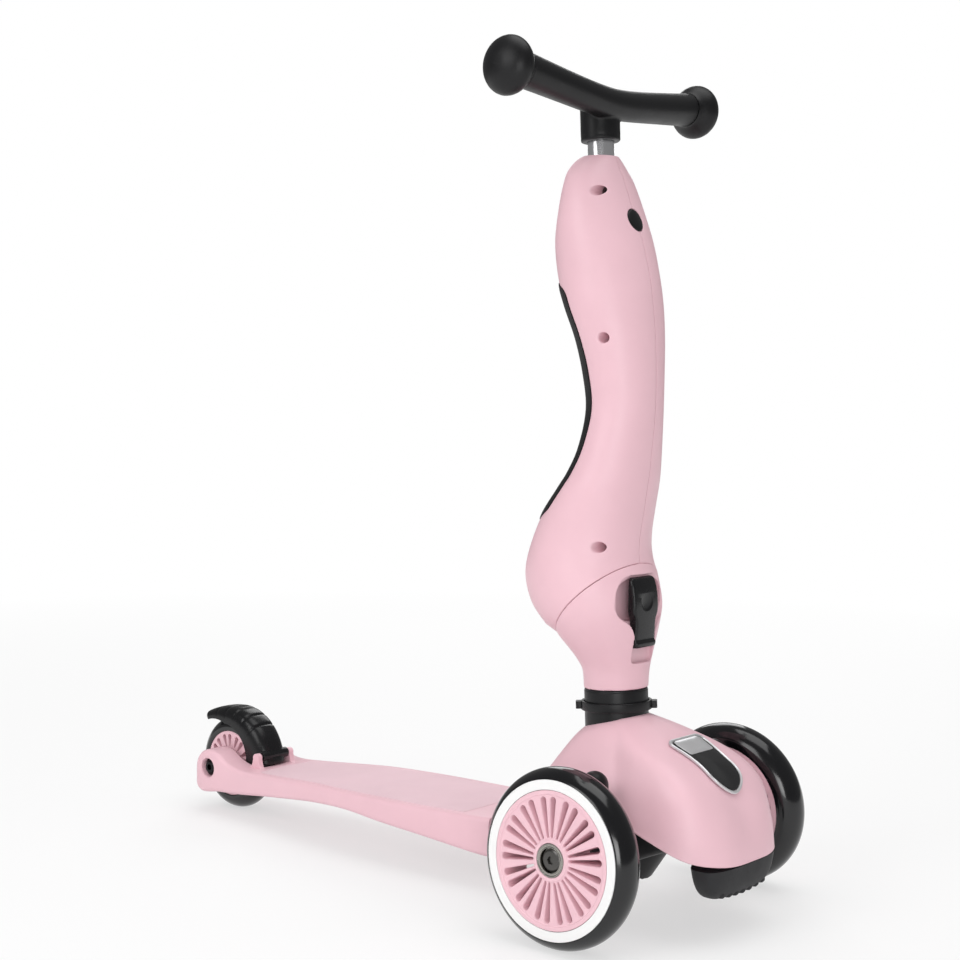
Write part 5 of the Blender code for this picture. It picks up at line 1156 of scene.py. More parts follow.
# %% [markdown]
# ## The seat column
# Two hollow mouldings, screwed together from the rider's right, meet in the middle. Their skin is
# a row of ovals with a smooth curve through them. Whatever is cut into the column has to know
# where that skin is, so these functions find it from a height, an angle or a place.

# %% The column's skin
# Front y and z, rear y and z, and half width of each oval, in mm
COLUMN_STATIONS = (
    (14.8, 249.5, 83.0, 195.5, 48.0),
    (15.2, 254.5, 96.5, 209.5, 48.0),
    (15.0, 262.0, 104.5, 228.0, 46.5),
    (13.5, 273.0, 104.0, 246.0, 44.5),
    (10.8, 288.0, 92.5, 275.0, 42.3),
    (9.0, 300.0, 74.8, 300.0, 39.7),
    (7.3, 310.0, 67.9, 310.0, 37.2),
    (5.5, 328.0, 59.4, 328.0, 33.4),
    (3.2, 355.0, 54.6, 355.0, 29.4),
    (3.0, 380.0, 57.7, 380.0, 30.4),
    (4.1, 405.0, 63.9, 405.0, 34.0),
    (6.4, 428.0, 73.0, 428.0, 37.6),
    (9.9, 449.0, 80.0, 449.0, 38.6),
    (16.8, 474.7, 82.6, 474.7, 38.8),
    (27.0, 500.5, 78.8, 500.5, 36.0),
    (33.5, 518.0, 76.4, 518.0, 30.0),
    (37.3, 526.0, 74.5, 526.0, 24.6),
    (39.8, 532.0, 71.2, 532.0, 18.0),
    (41.3, 535.0, 67.8, 535.0, 13.6),
)
COLUMN_TOP_Z = 535.0 * MM


def row_at(column, height):
    """The column's section whose value in one of its columns is a height in mm."""
    last = float(len(COLUMN_STATIONS) - 1)
    return smooth_row(COLUMN_STATIONS, narrowed(
        0.0, last, 40, lambda place: smooth_row(COLUMN_STATIONS, place)[column] < height))


def skin_point(row, angle, offset):
    """A point of a column section, counted from its rear, moved square to the skin."""
    middle, half = middle_and_half(row)
    depth = half.length
    half_width = row[4] * MM
    point = middle + half * math.cos(angle) + X * half_width * math.sin(angle)
    square = half / depth * math.cos(angle) / depth + X * math.sin(angle) / half_width
    return point + square.normalized() * offset


def skin_half(y, z):
    """Half the column's width at a point of its middle plane; 0 outside it."""
    low, high = 0.0, float(len(COLUMN_STATIONS) - 1)
    for _ in range(20):
        middle = (low + high) / 2
        row = smooth_row(COLUMN_STATIONS, middle)
        share = (y / MM - row[0]) / (row[2] - row[0])
        if row[1] + (row[3] - row[1]) * share < z / MM:
            low = middle
        else:
            high = middle
    return row[4] * MM * math.sqrt(max(0.0, 1 - (2 * share - 1) ** 2))


def front_reach(x, height):
    """Distance forwards from the column axis to the skin, at a height along the axis."""
    foot = COLUMN_FOOT + COLUMN_UP * height

    def is_inside(reach):
        point = foot + COLUMN_FRONT * reach
        return skin_half(point.y, point.z) > abs(x)

    return narrowed(5 * MM, 45 * MM, 14, is_inside)


print("the column is", round(2 * row_at(3, 355.0)[4], 1), "mm wide at its waist")

# %% [markdown]
# ## Holes that follow the skin
# A plain round cutter leaves a hole with a sharp edge that is deep on one side and shallow on the
# other. Here each ring of a cutter is laid on the skin, a little wider the nearer it comes to the
# surface, and that leaves the soft edge of a moulded hole.

# %% Holes that follow the skin
# y and z in mm
COLUMN_SCREWS = ((27.6, 259.0), (25.6, 405.0), (38.0, 508.0))
SCREW_HOLE_R = 3.7 * MM
SCREW_HOLE_FLOOR = 12.0 * MM
BUTTON_Z = 487.0 * MM
BUTTON_R = 8.0 * MM
# How a hole meets the skin: growth of its radius and lift from the skin, in mm
SOFT_RIM = ((0.0, -1.1), (0.1, -0.6), (0.35, -0.25), (0.8, -0.04), (1.3, 0.03), (1.6, 2.5))


def screw_hole(name, y, z, radius, floor):
    """A hole into the column's right side with a soft rim that follows the skin."""
    rings = []
    for grow, lift in ((0.0, None), *SOFT_RIM):
        ring = []
        for angle in full_turn(40):
            out = radius + grow * MM
            to_side = Vector((0.0, y + out * math.cos(angle), z + out * math.sin(angle)))
            depth = floor if lift is None else skin_half(to_side.y, to_side.z) + lift * MM
            ring.append(to_side - X * depth)
        rings.append(ring)
    return loft(name, rings)


def button_rings(radius, levels, floor):
    """Rings square to the front that follow the skin; levels are radius growth and lift."""
    middle = along_column(BUTTON_Z)
    foot = COLUMN_FOOT + COLUMN_UP * middle
    rings = []
    for grow, lift in ((levels[0][0], None), *levels):
        ring = []
        for angle in full_turn(48):
            out = radius + grow * MM
            x, height = out * math.sin(angle), out * math.cos(angle)
            reach = floor if lift is None else front_reach(x, middle + height) + lift * MM
            ring.append(foot + X * x + COLUMN_UP * height + COLUMN_FRONT * reach)
        rings.append(ring)
    return rings


print("there are", len(COLUMN_SCREWS), "screws in the column's right side")

# %% [markdown]
# ## The form of the pad
# The pad and the bed it lies in are one form in two sizes, so both come from the same rings. Each
# ring is a strip of the column's own section, and the strips narrow towards both round ends.

# %% Pad form
# Ends of the pad's bed, and the length over which its ends are rounded
PAD_LOW_Z = 272.0 * MM
PAD_HIGH_Z = 447.0 * MM
PAD_ROUND = 12.0 * MM
# How far round the column the pad goes, in degrees, and how much less where the column is wide
PAD_WRAP = 67.0
PAD_WRAP_LOSS = 10.0
# The column's half width where that loss starts, and the growth over which it comes, in mm
PAD_NARROW = 29.4
PAD_WIDENING = 16.0
# The pad's crown is full from this far inside its ends
PAD_CROWN_RUN = 8.0 * MM


def pad_rings(grow, levels, crown=0.0, points=18, steps=64):
    """Sections of the pad or of its bed: levels are offsets from the skin, outermost first."""
    rings = []
    for step in range(steps + 1):
        share = (1 - math.cos(math.pi * step / steps)) / 2
        height = PAD_LOW_Z + (PAD_HIGH_Z - PAD_LOW_Z) * share
        to_end = min(height - PAD_LOW_Z, PAD_HIGH_Z - height)
        rounding = max(0.0, 1 - to_end / PAD_ROUND)
        slimming = max(math.sqrt(1 - rounding ** 2), 0.1)
        if step == 0:
            height -= grow
        elif step == steps:
            height += grow
        row = row_at(3, height / MM)
        loss = PAD_WRAP_LOSS * min((row[4] - PAD_NARROW) / PAD_WIDENING, 1.0)
        reach = math.radians(PAD_WRAP - loss) * slimming + grow / (row[4] * MM)
        swell = crown * min(1.0, to_end / PAD_CROWN_RUN) ** 0.5
        ring = []
        for offset, order in ((levels[0], 1), (levels[1], -1)):
            for n in range(points + 1):
                place = 2 * n / points - 1
                lift = swell * (1 - place ** 4) if order == 1 else 0.0
                ring.append(skin_point(row, order * reach * place, offset + lift))
        rings.append(ring)
    return rings


print("the pad is", round((PAD_HIGH_Z - PAD_LOW_Z) / MM), "mm high")

# %% [markdown]
# ## The column's two halves
# Each half is a loft of half ovals, eased by a hair where the halves meet, which draws the thin
# dark line of the joint. The cutters are made once and taken out of both halves. The screws are
# turned on the way, each with the cutters for its own hole.

# %% Seat column halves
TUBE_R = 9.5 * MM
TUBE_LOW_Z = 408.0 * MM
# How far each ring of a half is drawn in at its seam, in mm
SEAM_EASE = (0.16, 0.04)


def seam_angles():
    """Half a turn from the rear to the front, with close points at both ends for the seam."""
    close = [0.0, 0.02, 0.05, 0.1]
    middle = [0.1 + (math.pi - 0.2) * n / 40 for n in range(1, 40)]
    return close + middle + [math.pi - angle for angle in reversed(close)]


def half_shell(sign, side, cutters):
    angles = [sign * angle for angle in seam_angles()]
    ease = [*SEAM_EASE, *[0.0] * (len(angles) - 2 * len(SEAM_EASE)), *reversed(SEAM_EASE)]
    rings = [fold_oval(GAP / 2, angles, 0.5 * MM), fold_oval(GAP / 2 + 0.5 * MM, angles)]
    rings += [oval(row, angles) for row in smooth_rows(COLUMN_STATIONS)]
    shaped = []
    for ring in rings:
        centre = sum(ring, Vector()) / len(ring)
        centre.x = 0.0
        moved = [point + (centre - point).normalized() * amount * MM
                 for point, amount in zip(ring, ease)]
        for index in (0, -1):
            moved[index].x = sign * GAP / 2
        shaped.append(moved)
    shell = loft(f"column_half_{side}", shaped)
    combine(shell, cutters, "DIFFERENCE")
    show(shell, "pink_plastic", "seat_column", f"seat_shell_{side}")


def case_screw(number, y, z):
    """Makes a screw in the column's right side, and gives the cutters for its thread and hole."""
    place = Vector((0.0, y, z)) * MM
    seat = SCREW_HOLE_FLOOR + GAP
    section = [(0.0, -9 * MM), (1.9 * MM, -9 * MM), (1.9 * MM, seat), (3.4 * MM, seat),
               (3.4 * MM, seat + 2.6 * MM), (0.0, seat + 2.6 * MM)]
    screw = turned(f"case_screw_{number}", rounded(section, 0.4 * MM), place, -X, 40)
    cut_hexagon(screw, 1.7 * MM, place, -X, seat + 0.8 * MM)
    show(screw, "zinc_steel", "seat_column", f"column_screw_{number}", finish="dark_steel")
    return [turned("thread", rod(2.2 * MM, 0.0, 12.5 * MM), place, -X, 32),
            screw_hole("screw_hole", y * MM, z * MM, SCREW_HOLE_R, SCREW_HOLE_FLOOR)]


def make_column():
    button = COLUMN_FOOT + COLUMN_UP * along_column(BUTTON_Z)
    low, top = along_column(TUBE_LOW_Z) - 4 * MM, along_column(COLUMN_TOP_Z)
    bore_r = TUBE_R + GAP
    tube_bore = [(0.0, low), (bore_r, low), (bore_r, top - 1.2 * MM), (10.2 * MM, top - 0.3 * MM),
                 (11.2 * MM, top + 0.3 * MM), (11.2 * MM, top + LONG), (0.0, top + LONG)]
    cutters = [turned("tube_bore", tube_bore, COLUMN_FOOT, COLUMN_UP, 64),
               turned("stem_bore", rod(3.8 * MM, 0.0, 16 * MM), button, COLUMN_FRONT, 32),
               loft("button_bore", button_rings(BUTTON_R + GAP, SOFT_RIM, 15.5 * MM)),
               loft("pad_bed", pad_rings(0.6 * MM, (3 * MM, -4.3 * MM)))]
    for number, (y, z) in enumerate(COLUMN_SCREWS, 1):
        cutters += case_screw(number, y, z)
    for sign, side in SIDES:
        half_shell(sign, side, cutters)
    remove(cutters)


make_column()

# %% [markdown]
# ## The seat pad
# Folded down, the rear of the column is the seat, so a soft black pad is let into it. It is a
# crowned closed form that stands a little proud in its middle and dips to the bed at its edge.

# %% Seat pad
def make_pad():
    pad = loft("soft_seat_pad", pad_rings(0.0, (0.7 * MM, -3.7 * MM), crown=0.7 * MM))
    show(pad, "pad_rubber", "seat_column", "seat_pad")


make_pad()

# %% [markdown]
# ## The height button
# A domed black button in the column's front, pressed to raise the handlebar.

# %% Button
# Growth of the radius and lift from the skin, from the edge over the dome, in mm
BUTTON_DOME = ((0.0, -1.0), (-0.1, -0.5), (-0.5, -0.1), (-1.3, 0.15), (-3.0, 0.35), (-5.5, 0.45),
               (-7.8, 0.45))


def make_button():
    cap = loft("thumb_button", button_rings(BUTTON_R, BUTTON_DOME, 22.9 * MM))
    centre = COLUMN_FOOT + COLUMN_UP * along_column(BUTTON_Z)
    stem = rounded(rod(3.5 * MM, 7.5 * MM, 25 * MM), 0.5 * MM)
    join(cap, turned("stem", stem, centre, COLUMN_FRONT, 48))
    show(cap, "black_plastic", "button", "height_button")


make_button()

# %% [markdown]
# ## The handlebar
# A chromed tube slides in the column and carries a black bar with a round ball at each end. The
# tube is turned, and the slot for the button's stem is cut into its front, as long as the
# handlebar travels.

# %% Tube
TUBE_TOP = 568.0 * MM
TUBE_BORE_R = 8.0 * MM
TRAVEL = 60.0 * MM
SCREW_AT = COLUMN_FOOT + COLUMN_UP * along_column(TUBE_TOP - 12 * MM)


def make_tube():
    section = block(TUBE_BORE_R, TUBE_R, along_column(TUBE_LOW_Z), along_column(TUBE_TOP))
    pole = turned("chrome_tube", rounded(section, 0.3 * MM), COLUMN_FOOT, COLUMN_UP, 72)
    button = along_column(BUTTON_Z)
    slot = arc((0.0, button - TRAVEL), 4.3 * MM, 180, 360, 16)
    slot += arc((0.0, button), 4.3 * MM, 0, 180, 16)
    cut(pole, prism("slot", slot, COLUMN_FOOT, X, COLUMN_UP, 0.0, LONG))
    cut(pole, turned("hole", rod(2.3 * MM, 0.0, LONG), SCREW_AT, -COLUMN_FRONT, 24))
    show(pole, "chrome", "handlebar", "handlebar_tube")


make_tube()

# %% [markdown]
# ## The bar
# Its rings run from end to end along a line that bends in the middle, and they widen a little
# towards the ends. A curve with a bevel could do this too, but the steps down to the spigots are
# simply two more rings here. The socket is joined on, and the two are rebuilt from small faces
# and eased, which leaves the soft inner corner of a moulding between them.

# %% Bar
BAR_Z = 572.0 * MM
BAR_MIDDLE = Vector((0.0, COLUMN_FOOT.y + BAR_Z * math.tan(RAKE) - 10.3 * MM, BAR_Z))
BAR_END = BAR_MIDDLE + Vector((98.5 * MM, 2.8 * MM, 9.8 * MM))
# The bar bends over about this share of its half length
BAR_BEND = 0.2
SPIGOT_R = 8.0 * MM
SPIGOT_LONG = 12.0 * MM
SOCKET_R = 14.2 * MM


def bar_ring(centre, radius):
    return [centre + Y * radius * math.cos(a) + Z * radius * math.sin(a) for a in full_turn(64)]


def bar_rings(steps=24):
    """Rings of the bar from its right end to its left one, with a spigot at each end."""
    rings = []
    for step in range(-steps, steps + 1):
        share = abs(step) / steps
        bend = (math.hypot(share, BAR_BEND) - BAR_BEND) / (math.hypot(1.0, BAR_BEND) - BAR_BEND)
        centre = BAR_MIDDLE + (BAR_END - BAR_MIDDLE) * bend
        centre.x = BAR_END.x * step / steps
        rings.append(bar_ring(centre, (11.0 + 1.4 * share ** 2) * MM))
    left, right = BAR_END, Vector((-BAR_END.x, BAR_END.y, BAR_END.z))
    return [bar_ring(right - X * SPIGOT_LONG, SPIGOT_R), bar_ring(right, SPIGOT_R), *rings,
            bar_ring(left, SPIGOT_R), bar_ring(left + X * SPIGOT_LONG, SPIGOT_R)]


def make_bar():
    handle = loft("black_bar", bar_rings())
    low, top = along_column(TUBE_TOP - 22 * MM), along_column(TUBE_TOP + 8 * MM)
    line = SOCKET_R - 0.4 * MM
    section = rounded([
        (0.0, low), (SOCKET_R, low), (SOCKET_R, low + 2.5 * MM), (line, low + 2.9 * MM),
        (line, low + 3.4 * MM), (SOCKET_R, low + 3.8 * MM), (SOCKET_R, top - SOCKET_R * 0.3),
        (SOCKET_R * 0.9, top - SOCKET_R * 0.1), (SOCKET_R * 0.6, top), (0.0, top)], 0.8 * MM)
    join(handle, turned("socket", section, COLUMN_FOOT, COLUMN_UP, 72))
    remeshed(handle, 0.8 * MM, 6)
    bore = rod(TUBE_R + GAP, 0.0, along_column(TUBE_TOP) + GAP)
    seat = SOCKET_R - 2.5 * MM - GAP
    hole = [(0.0, 0.0), (2.3 * MM, 0.0), (2.3 * MM, seat), (3.9 * MM, seat), (3.9 * MM, LONG),
            (0.0, LONG)]
    cut(handle, turned("bore", bore, COLUMN_FOOT, COLUMN_UP, 64),
        turned("screw_hole", hole, SCREW_AT, -COLUMN_FRONT, 40))
    show(handle, "black_plastic", "handlebar", "handlebar")


make_bar()

# %% [markdown]
# ## The grips' ends
# Each is a turned ball on a hollow flare, with a socket for the bar's spigot.

# %% Grips' ends
# The ball's radius and half its length, in mm
GRIP_R = 20.0
GRIP_HALF = 12.3
# From the bar's end to the ball's full radius, in mm: a hollow curve that turns round
GRIP_FLARE = ((12.4, 0.0), (12.5, 0.5), (13.0, 1.5), (13.9, 2.6), (15.2, 3.9), (16.6, 5.3),
              (17.9, 7.0), (19.0, 8.9), (19.7, 10.7), (GRIP_R, GRIP_HALF))


def make_grips():
    ball = [(GRIP_R * radius, GRIP_HALF + GRIP_HALF * height)
            for radius, height in arc((0.0, 0.0), 1.0, 0, 78, 10)[1:]]
    socket = ((0.0, 12.0), (8.3, 12.0), (8.3, 0.0))
    section = in_mm([*socket, *GRIP_FLARE, *ball, (0.0, GRIP_HALF * 2)])
    for sign, side in SIDES:
        inner = Vector((sign * (BAR_END.x + GAP), BAR_END.y, BAR_END.z))
        show(turned(f"ball_grip_{side}", section, inner, X * sign, 80), "black_plastic",
             "handlebar", f"grip_end_{side}")


make_grips()

# %% [markdown]
# ## The deck
# The deck is one pink moulding: the footboard, the two arms beside the rear wheel, the riser
# under the hood and the plate that holds the column. The board is a loft of boxes with round
# edges. It narrows and sinks towards the rear, where its arms rise again round the axle. A panel
# with a fine raised border is inlaid in its top, a little rougher than the rest, so that it grips.

# %% Deck sections
# Distance back, half width, top and underside, in mm
DECK_STATIONS = (
    (113.0, 46.0, 55.3, 25.5), (129.4, 49.0, 54.8, 27.0), (175.2, 50.5, 53.2, 30.6),
    (221.1, 51.0, 52.3, 33.5), (260.4, 50.5, 51.2, 36.5), (299.7, 47.5, 50.0, 35.0),
    (339.0, 43.0, 47.3, 30.5), (370.2, 39.5, 45.0, 26.5), (398.0, 37.4, 43.7, 22.8),
    (416.0, 37.0, 47.0, 21.2), (430.0, 37.0, 54.0, 20.2), (440.6, 37.0, 55.5, 18.5),
    (448.6, 36.5, 53.5, 17.7), (454.6, 35.5, 48.5, 19.0), (458.6, 33.5, 41.5, 21.5),
    (461.0, 30.0, 33.0, 25.5),
)


def deck_row(y):
    """The deck's section at a distance back: half width, top and underside, in mm."""
    rows = DECK_STATIONS
    for place in range(len(rows) - 1):
        if y <= rows[place + 1][0]:
            share = (y - rows[place][0]) / (rows[place + 1][0] - rows[place][0])
            return smooth_row(rows, place + share)[1:]
    return rows[-1][1:]


print("the board is", round(2 * deck_row(250.0)[0]), "mm wide in its middle")

# %% [markdown]
# ## The deck's outer form
# The riser and the plate under the hood are outlines seen from the side and drawn out across. The
# bosses for the column, the kingpin and the axle are turned. All of it is joined to the board.

# %% Deck body
WELL_HALF_W = 16.5 * MM
WELL_FRONT = 394.0 * MM
BOLT_HOLE_R = 4.2 * MM
PIN_HOLE_R = 2.2 * MM
BRAKE_PIN_TURN = math.radians(74.0)
BRAKE_PIN = REAR_AXLE + Vector((0.0, -math.sin(BRAKE_PIN_TURN), math.cos(BRAKE_PIN_TURN))) * (
    45.6 * MM)
KINGPIN_LEAN = math.radians(35.0)
KINGPIN_FOOT = Vector((0.0, 2.0 * MM, 58.0 * MM))
KINGPIN_UP = Vector((0.0, -math.sin(KINGPIN_LEAN), math.cos(KINGPIN_LEAN)))
# The riser under the hood, from the board's front end up and back, as y and z in mm
RISER = ((125.0, 26.5), (60.0, 84.0), (66.0, 91.0), (101.0, 56.0), (125.0, 54.0))
# An ear's outline below its round top, from its front round the foot to its back, as y and z
# from the pin in mm
EAR_FOOT = ((-3.9, -4.0), (-5.2, -7.6), (-8.0, -9.4), (-8.0, -13.0), (8.0, -13.0), (8.0, -9.0),
            (5.2, -7.2), (3.9, -4.0))


def side_view(name, outline, half_width):
    """A prism across the scooter, from an outline of (y, z) in metres."""
    return prism(name, outline, Vector(), Y, Z, -half_width, half_width)


def brake_ear(sign):
    """An upstand for the fender's pin, with eased edges, its foot sunk in the deck."""
    outline = arc((BRAKE_PIN.y, BRAKE_PIN.z), 3.4 * MM, 5, 175, 16)
    outline += [(BRAKE_PIN.y + y, BRAKE_PIN.z + z) for y, z in in_mm(EAR_FOOT)]
    low, high = sorted((sign * 15.5 * MM, sign * 20.5 * MM))
    ear = prism("ear", outline, Vector(), Y, Z, low, high)
    remeshed(ear, 0.5 * MM, 4)
    return ear


def deck_body():
    rings = []
    for y, half_width, top, low in smooth_rows(DECK_STATIONS):
        radius = min(4.5, (top - low) * 0.4)
        outline = rounded(block(-half_width, half_width, low, top), radius, 5)
        rings.append([Vector((x, y, z)) * MM for x, z in outline])
    board = loft("moulded_deck", rings)
    holder = rounded(block(-50 * MM, 69 * MM, 86.5 * MM, HOLDER_TOP_Z), 3 * MM, 5)
    boss = rod(21 * MM, along_column(80 * MM), along_column(HOLDER_TOP_Z) - 3 * MM)
    parts = [side_view("riser", in_mm(RISER), 24 * MM), side_view("holder", holder, 22 * MM),
             turned("kingpin_boss", rod(16 * MM, 15.8 * MM, 48 * MM), KINGPIN_FOOT, KINGPIN_UP, 64),
             turned("column_boss", boss, COLUMN_FOOT, COLUMN_UP, 64)]
    for sign, _ in SIDES:
        parts.append(brake_ear(sign))
        parts.append(turned("axle_boss", rod(6.5 * MM, 11.3 * MM, 20 * MM), REAR_AXLE, X * sign, 48))
    cut(board, side_view("well", block(WELL_FRONT, 0.6, -LONG, LONG), WELL_HALF_W))
    join(board, *parts)
    return board


print("the brake's pin lies", round((BRAKE_PIN - REAR_AXLE).length / MM, 1), "mm from the axle")

# %% [markdown]
# ## Hollows in the deck
# A moulding this size isn't solid: thick plastic sinks as it cools, so the underside is hollow
# between ribs. The bores for bolts and pins are cut in the same go.

# %% Hollows in the deck
# The pockets under the board lie between these distances back, in mm
POCKETS_FRONT = 140.0
POCKETS_BACK = 388.6
POCKET_ROWS = 4
# The walls between the pockets and beside them, and the skin over them, in mm
RIB = 3.0
SIDE_WALL = 4.6
SKIN = 4.2


def deck_pockets():
    """Hollows between the ribs under the deck."""
    shapes = []
    pitch = (POCKETS_BACK - POCKETS_FRONT + RIB) / POCKET_ROWS
    for row in range(POCKET_ROWS):
        front = POCKETS_FRONT + pitch * row
        back = front + pitch - RIB
        for sign, _ in SIDES:
            roof = []
            for y, inner in ((front, True), (front, False), (back, False), (back, True)):
                half_width, top, _ = deck_row(y)
                x = RIB / 2 if inner else half_width - SIDE_WALL
                roof.append(Vector((sign * x, y, top - SKIN)) * MM)
            shapes.append(loft("pocket", [[Vector((p.x, p.y, 0.0)) for p in roof], roof]))
    return shapes


def deck_holes():
    """What is cut for the column, its bolt, the kingpin, the rear axle and the brake's pin."""
    floor = along_column(88 * MM) - GAP
    collar_r, collar_low = COLLAR_R + GAP, COLLAR_LOW - GAP
    socket = [(0.0, floor), (POST_BORE_R, floor), (POST_BORE_R, collar_low), (collar_r, collar_low),
              (collar_r, LONG), (0.0, LONG)]
    nut_pocket = [(0.0, 0.0), (BOLT_HOLE_R, 0.0), (BOLT_HOLE_R, 46 * MM), (9.6 * MM, 46 * MM),
                  (9.6 * MM, LONG), (0.0, LONG)]
    recess = [(0.0, 31 * MM), (8.0 * MM, 31 * MM), (8.0 * MM, 35.6 * MM), (8.2 * MM, 36.2 * MM),
              (8.8 * MM, 36.8 * MM), (9.8 * MM, 37.2 * MM), (9.8 * MM, LONG), (0.0, LONG)]
    holes = [turned("post_socket", socket, COLUMN_FOOT, COLUMN_UP, 64),
             turned("bolt_hole", rod(BOLT_HOLE_R, 0.0, LONG), COLUMN_FOOT, COLUMN_UP, 32),
             turned("kingpin_hole", nut_pocket, KINGPIN_FOOT, KINGPIN_UP, 48)]
    holes += [turned("recess", recess, REAR_AXLE, X * sign, 64) for sign, _ in SIDES]
    holes.append(turned("axle_hole", rod(BOLT_HOLE_R, -50 * MM, 50 * MM), REAR_AXLE, X, 32))
    holes.append(turned("pin_hole", rod(PIN_HOLE_R, -19.8 * MM, 19.8 * MM), BRAKE_PIN, X, 24))
    return holes


print("the deck has", POCKET_ROWS * len(SIDES), "pockets")

# %% [markdown]
# ## The inlaid panel
# It is one thin loft along the board. It could be a second material on the deck's own faces, but
# its fine border catches the light only where it really stands up.

# %% Deck and panel
# The inlaid panel's ends and how far it stays inside the board's edge, in mm
PANEL_FRONT = 140.0
PANEL_BACK = 384.0
PANEL_ROUND = 12.0
PANEL_MARGIN = 6.5
# The panel's raised border: distance in from its edge and height over the board, in mm
PANEL_BORDER = ((0.0, -0.4), (0.0, 0.2), (0.3, 0.4), (1.2, 0.4), (1.5, 0.12))


def deck_panel(steps=70):
    """The inlaid panel, with a fine border and a round rear end."""
    rings = []
    for step in range(steps + 1):
        y = PANEL_FRONT + (PANEL_BACK - PANEL_FRONT) * step / steps
        half_width, top, _ = deck_row(y)
        tail = max(0.0, (y - (PANEL_BACK - PANEL_ROUND)) / PANEL_ROUND)
        reach = (half_width - PANEL_MARGIN) * math.sqrt(1.0 - min(tail, 0.995) ** 4)
        section = [(-reach + inwards, top + up) for inwards, up in PANEL_BORDER]
        section += [(-x, z) for x, z in reversed(section)]
        rings.append([Vector((x, y, z)) * MM for x, z in section])
    return loft("deck_panel", rings)


def make_deck():
    board = deck_body()
    cut(board, *deck_holes(), *deck_pockets())
    show(board, "pink_plastic", "chassis", "deck")
    show(deck_panel(), "pink_plastic", "chassis", finish="grip_panel")


make_deck()

# %% [markdown]
# ## The rear axle's bolt and nut
# Seen in the deck's deep recesses, both have a rounded head on a wide flange and a hexagon socket.
# Their near-black steel is painted shade for the deep recess, darker than the plated steel's own
# colour. The bolt's shank runs through the wheel and into the nut.

# %% Rear fasteners
# Radius and distance out from the scooter's middle, in mm. The flange's 7.6 mm radius is wider
# than the real head, so that its painted shade covers the recess's floor
FASTENER_HEAD = ((0.0, 31.3), (7.6, 31.3), (7.6, 32.3), (5.8, 32.5), (5.8, 33.6), (4.8, 34.6),
                 (0.0, 34.6))


def rear_fastener(name, node, out, shank=None):
    piece = turned(name, rounded(in_mm(FASTENER_HEAD), 0.4 * MM), REAR_AXLE, out, 56)
    if shank:
        join(piece, turned("shank", shank, REAR_AXLE, out, 48))
    cut_hexagon(piece, HEXAGON_R, REAR_AXLE, out, 32 * MM)
    # The zinc-plated slot gets near-black steel here: painted shade for the deep recess
    show(piece, "zinc_steel", "chassis", node, finish="black_steel")


rear_fastener("rear_bolt", "rear_axle_bolt", X, rod(4.0 * MM, -28 * MM, 31.5 * MM))
rear_fastener("rear_nut", "rear_axle_nut", -X)

# %% [markdown]
# ## The fender
# The black fender over the rear wheel is also the brake: the heel presses its tail. It is swept
# round the axle as a rounded arch, with grooves across its back for the heel and a thick lip at
# its tail. A mesh bent with a modifier would stretch the grooves, so each ring is written at its
# own angle.

# %% Fender
# Angles are in degrees forwards from straight up, lengths in mm
FENDER_R = 49.5
FENDER_INNER_R = 45.5
FENDER_SKIRT_R = 35.0
FENDER_HALF_W = 15.2
FENDER_SIDE_WALL = 2.0
FENDER_GROOVES = (-18.0, -4.0, 11.0, 26.0, 41.0)
GROOVE_REACH = 1.3
GROOVE_DEPTH = 1.0
# The tail grows from this angle backwards over so many degrees, and the toe over so many forwards
TAIL_START = 6.0
TAIL_LONG = 28.0
TOE_LONG = 80.0
# How far the tail rises and thickens, and how far the skirts end higher there and lower at the toe
TAIL_RISE = 2.6
TAIL_THICKENING = 1.2
TAIL_SKIRT = 8.6
TOE_SKIRT = 9.0
# The tail's last rings and the toe's, each drawn in by its second value
FENDER_TAIL = ((-38.0, 3.6), (-37.7, 2.7), (-37.1, 1.8), (-36.2, 0.9), (-35.0, 0.3))
FENDER_TOE = ((83.7, 0.3), (84.3, 0.9))
FENDER_TURNS = range(-34, 84)
# The arch is a half circle whose sine and cosine are raised to this power
ARCH_POWER = 0.62


def fender_ring(turn, pinch=0.0):
    """The fender's section at an angle: an arch whose skirts run down beside the tyre."""
    angle = math.radians(turn)
    tail = min(max((-turn - TAIL_START) / TAIL_LONG, 0.0), 1.0)
    toe = max(turn, 0.0) / TOE_LONG
    groove = sum(math.exp(-((turn - place) / GROOVE_REACH) ** 2) for place in FENDER_GROOVES)
    outer = FENDER_R + TAIL_RISE * tail ** 1.6 - GROOVE_DEPTH * groove - pinch
    inner = FENDER_INNER_R - TAIL_THICKENING * tail + pinch
    skirt = FENDER_SKIRT_R - TOE_SKIRT * toe + TAIL_SKIRT * tail ** 0.8 + pinch * 0.5
    half = FENDER_HALF_W - pinch * 0.8
    points = []
    for order, high, width in ((1, outer, half), (-1, inner, half - FENDER_SIDE_WALL)):
        for n in range(29):
            a = math.radians(-90 + 180 * n / 28) * order
            rise = abs(math.cos(a)) ** ARCH_POWER
            points.append((squared(math.sin(a), ARCH_POWER) * width,
                           skirt + max(high - skirt, 0.6) * rise))
    return [REAR_AXLE + Vector((x, -math.sin(angle) * r, math.cos(angle) * r)) * MM
            for x, r in points]


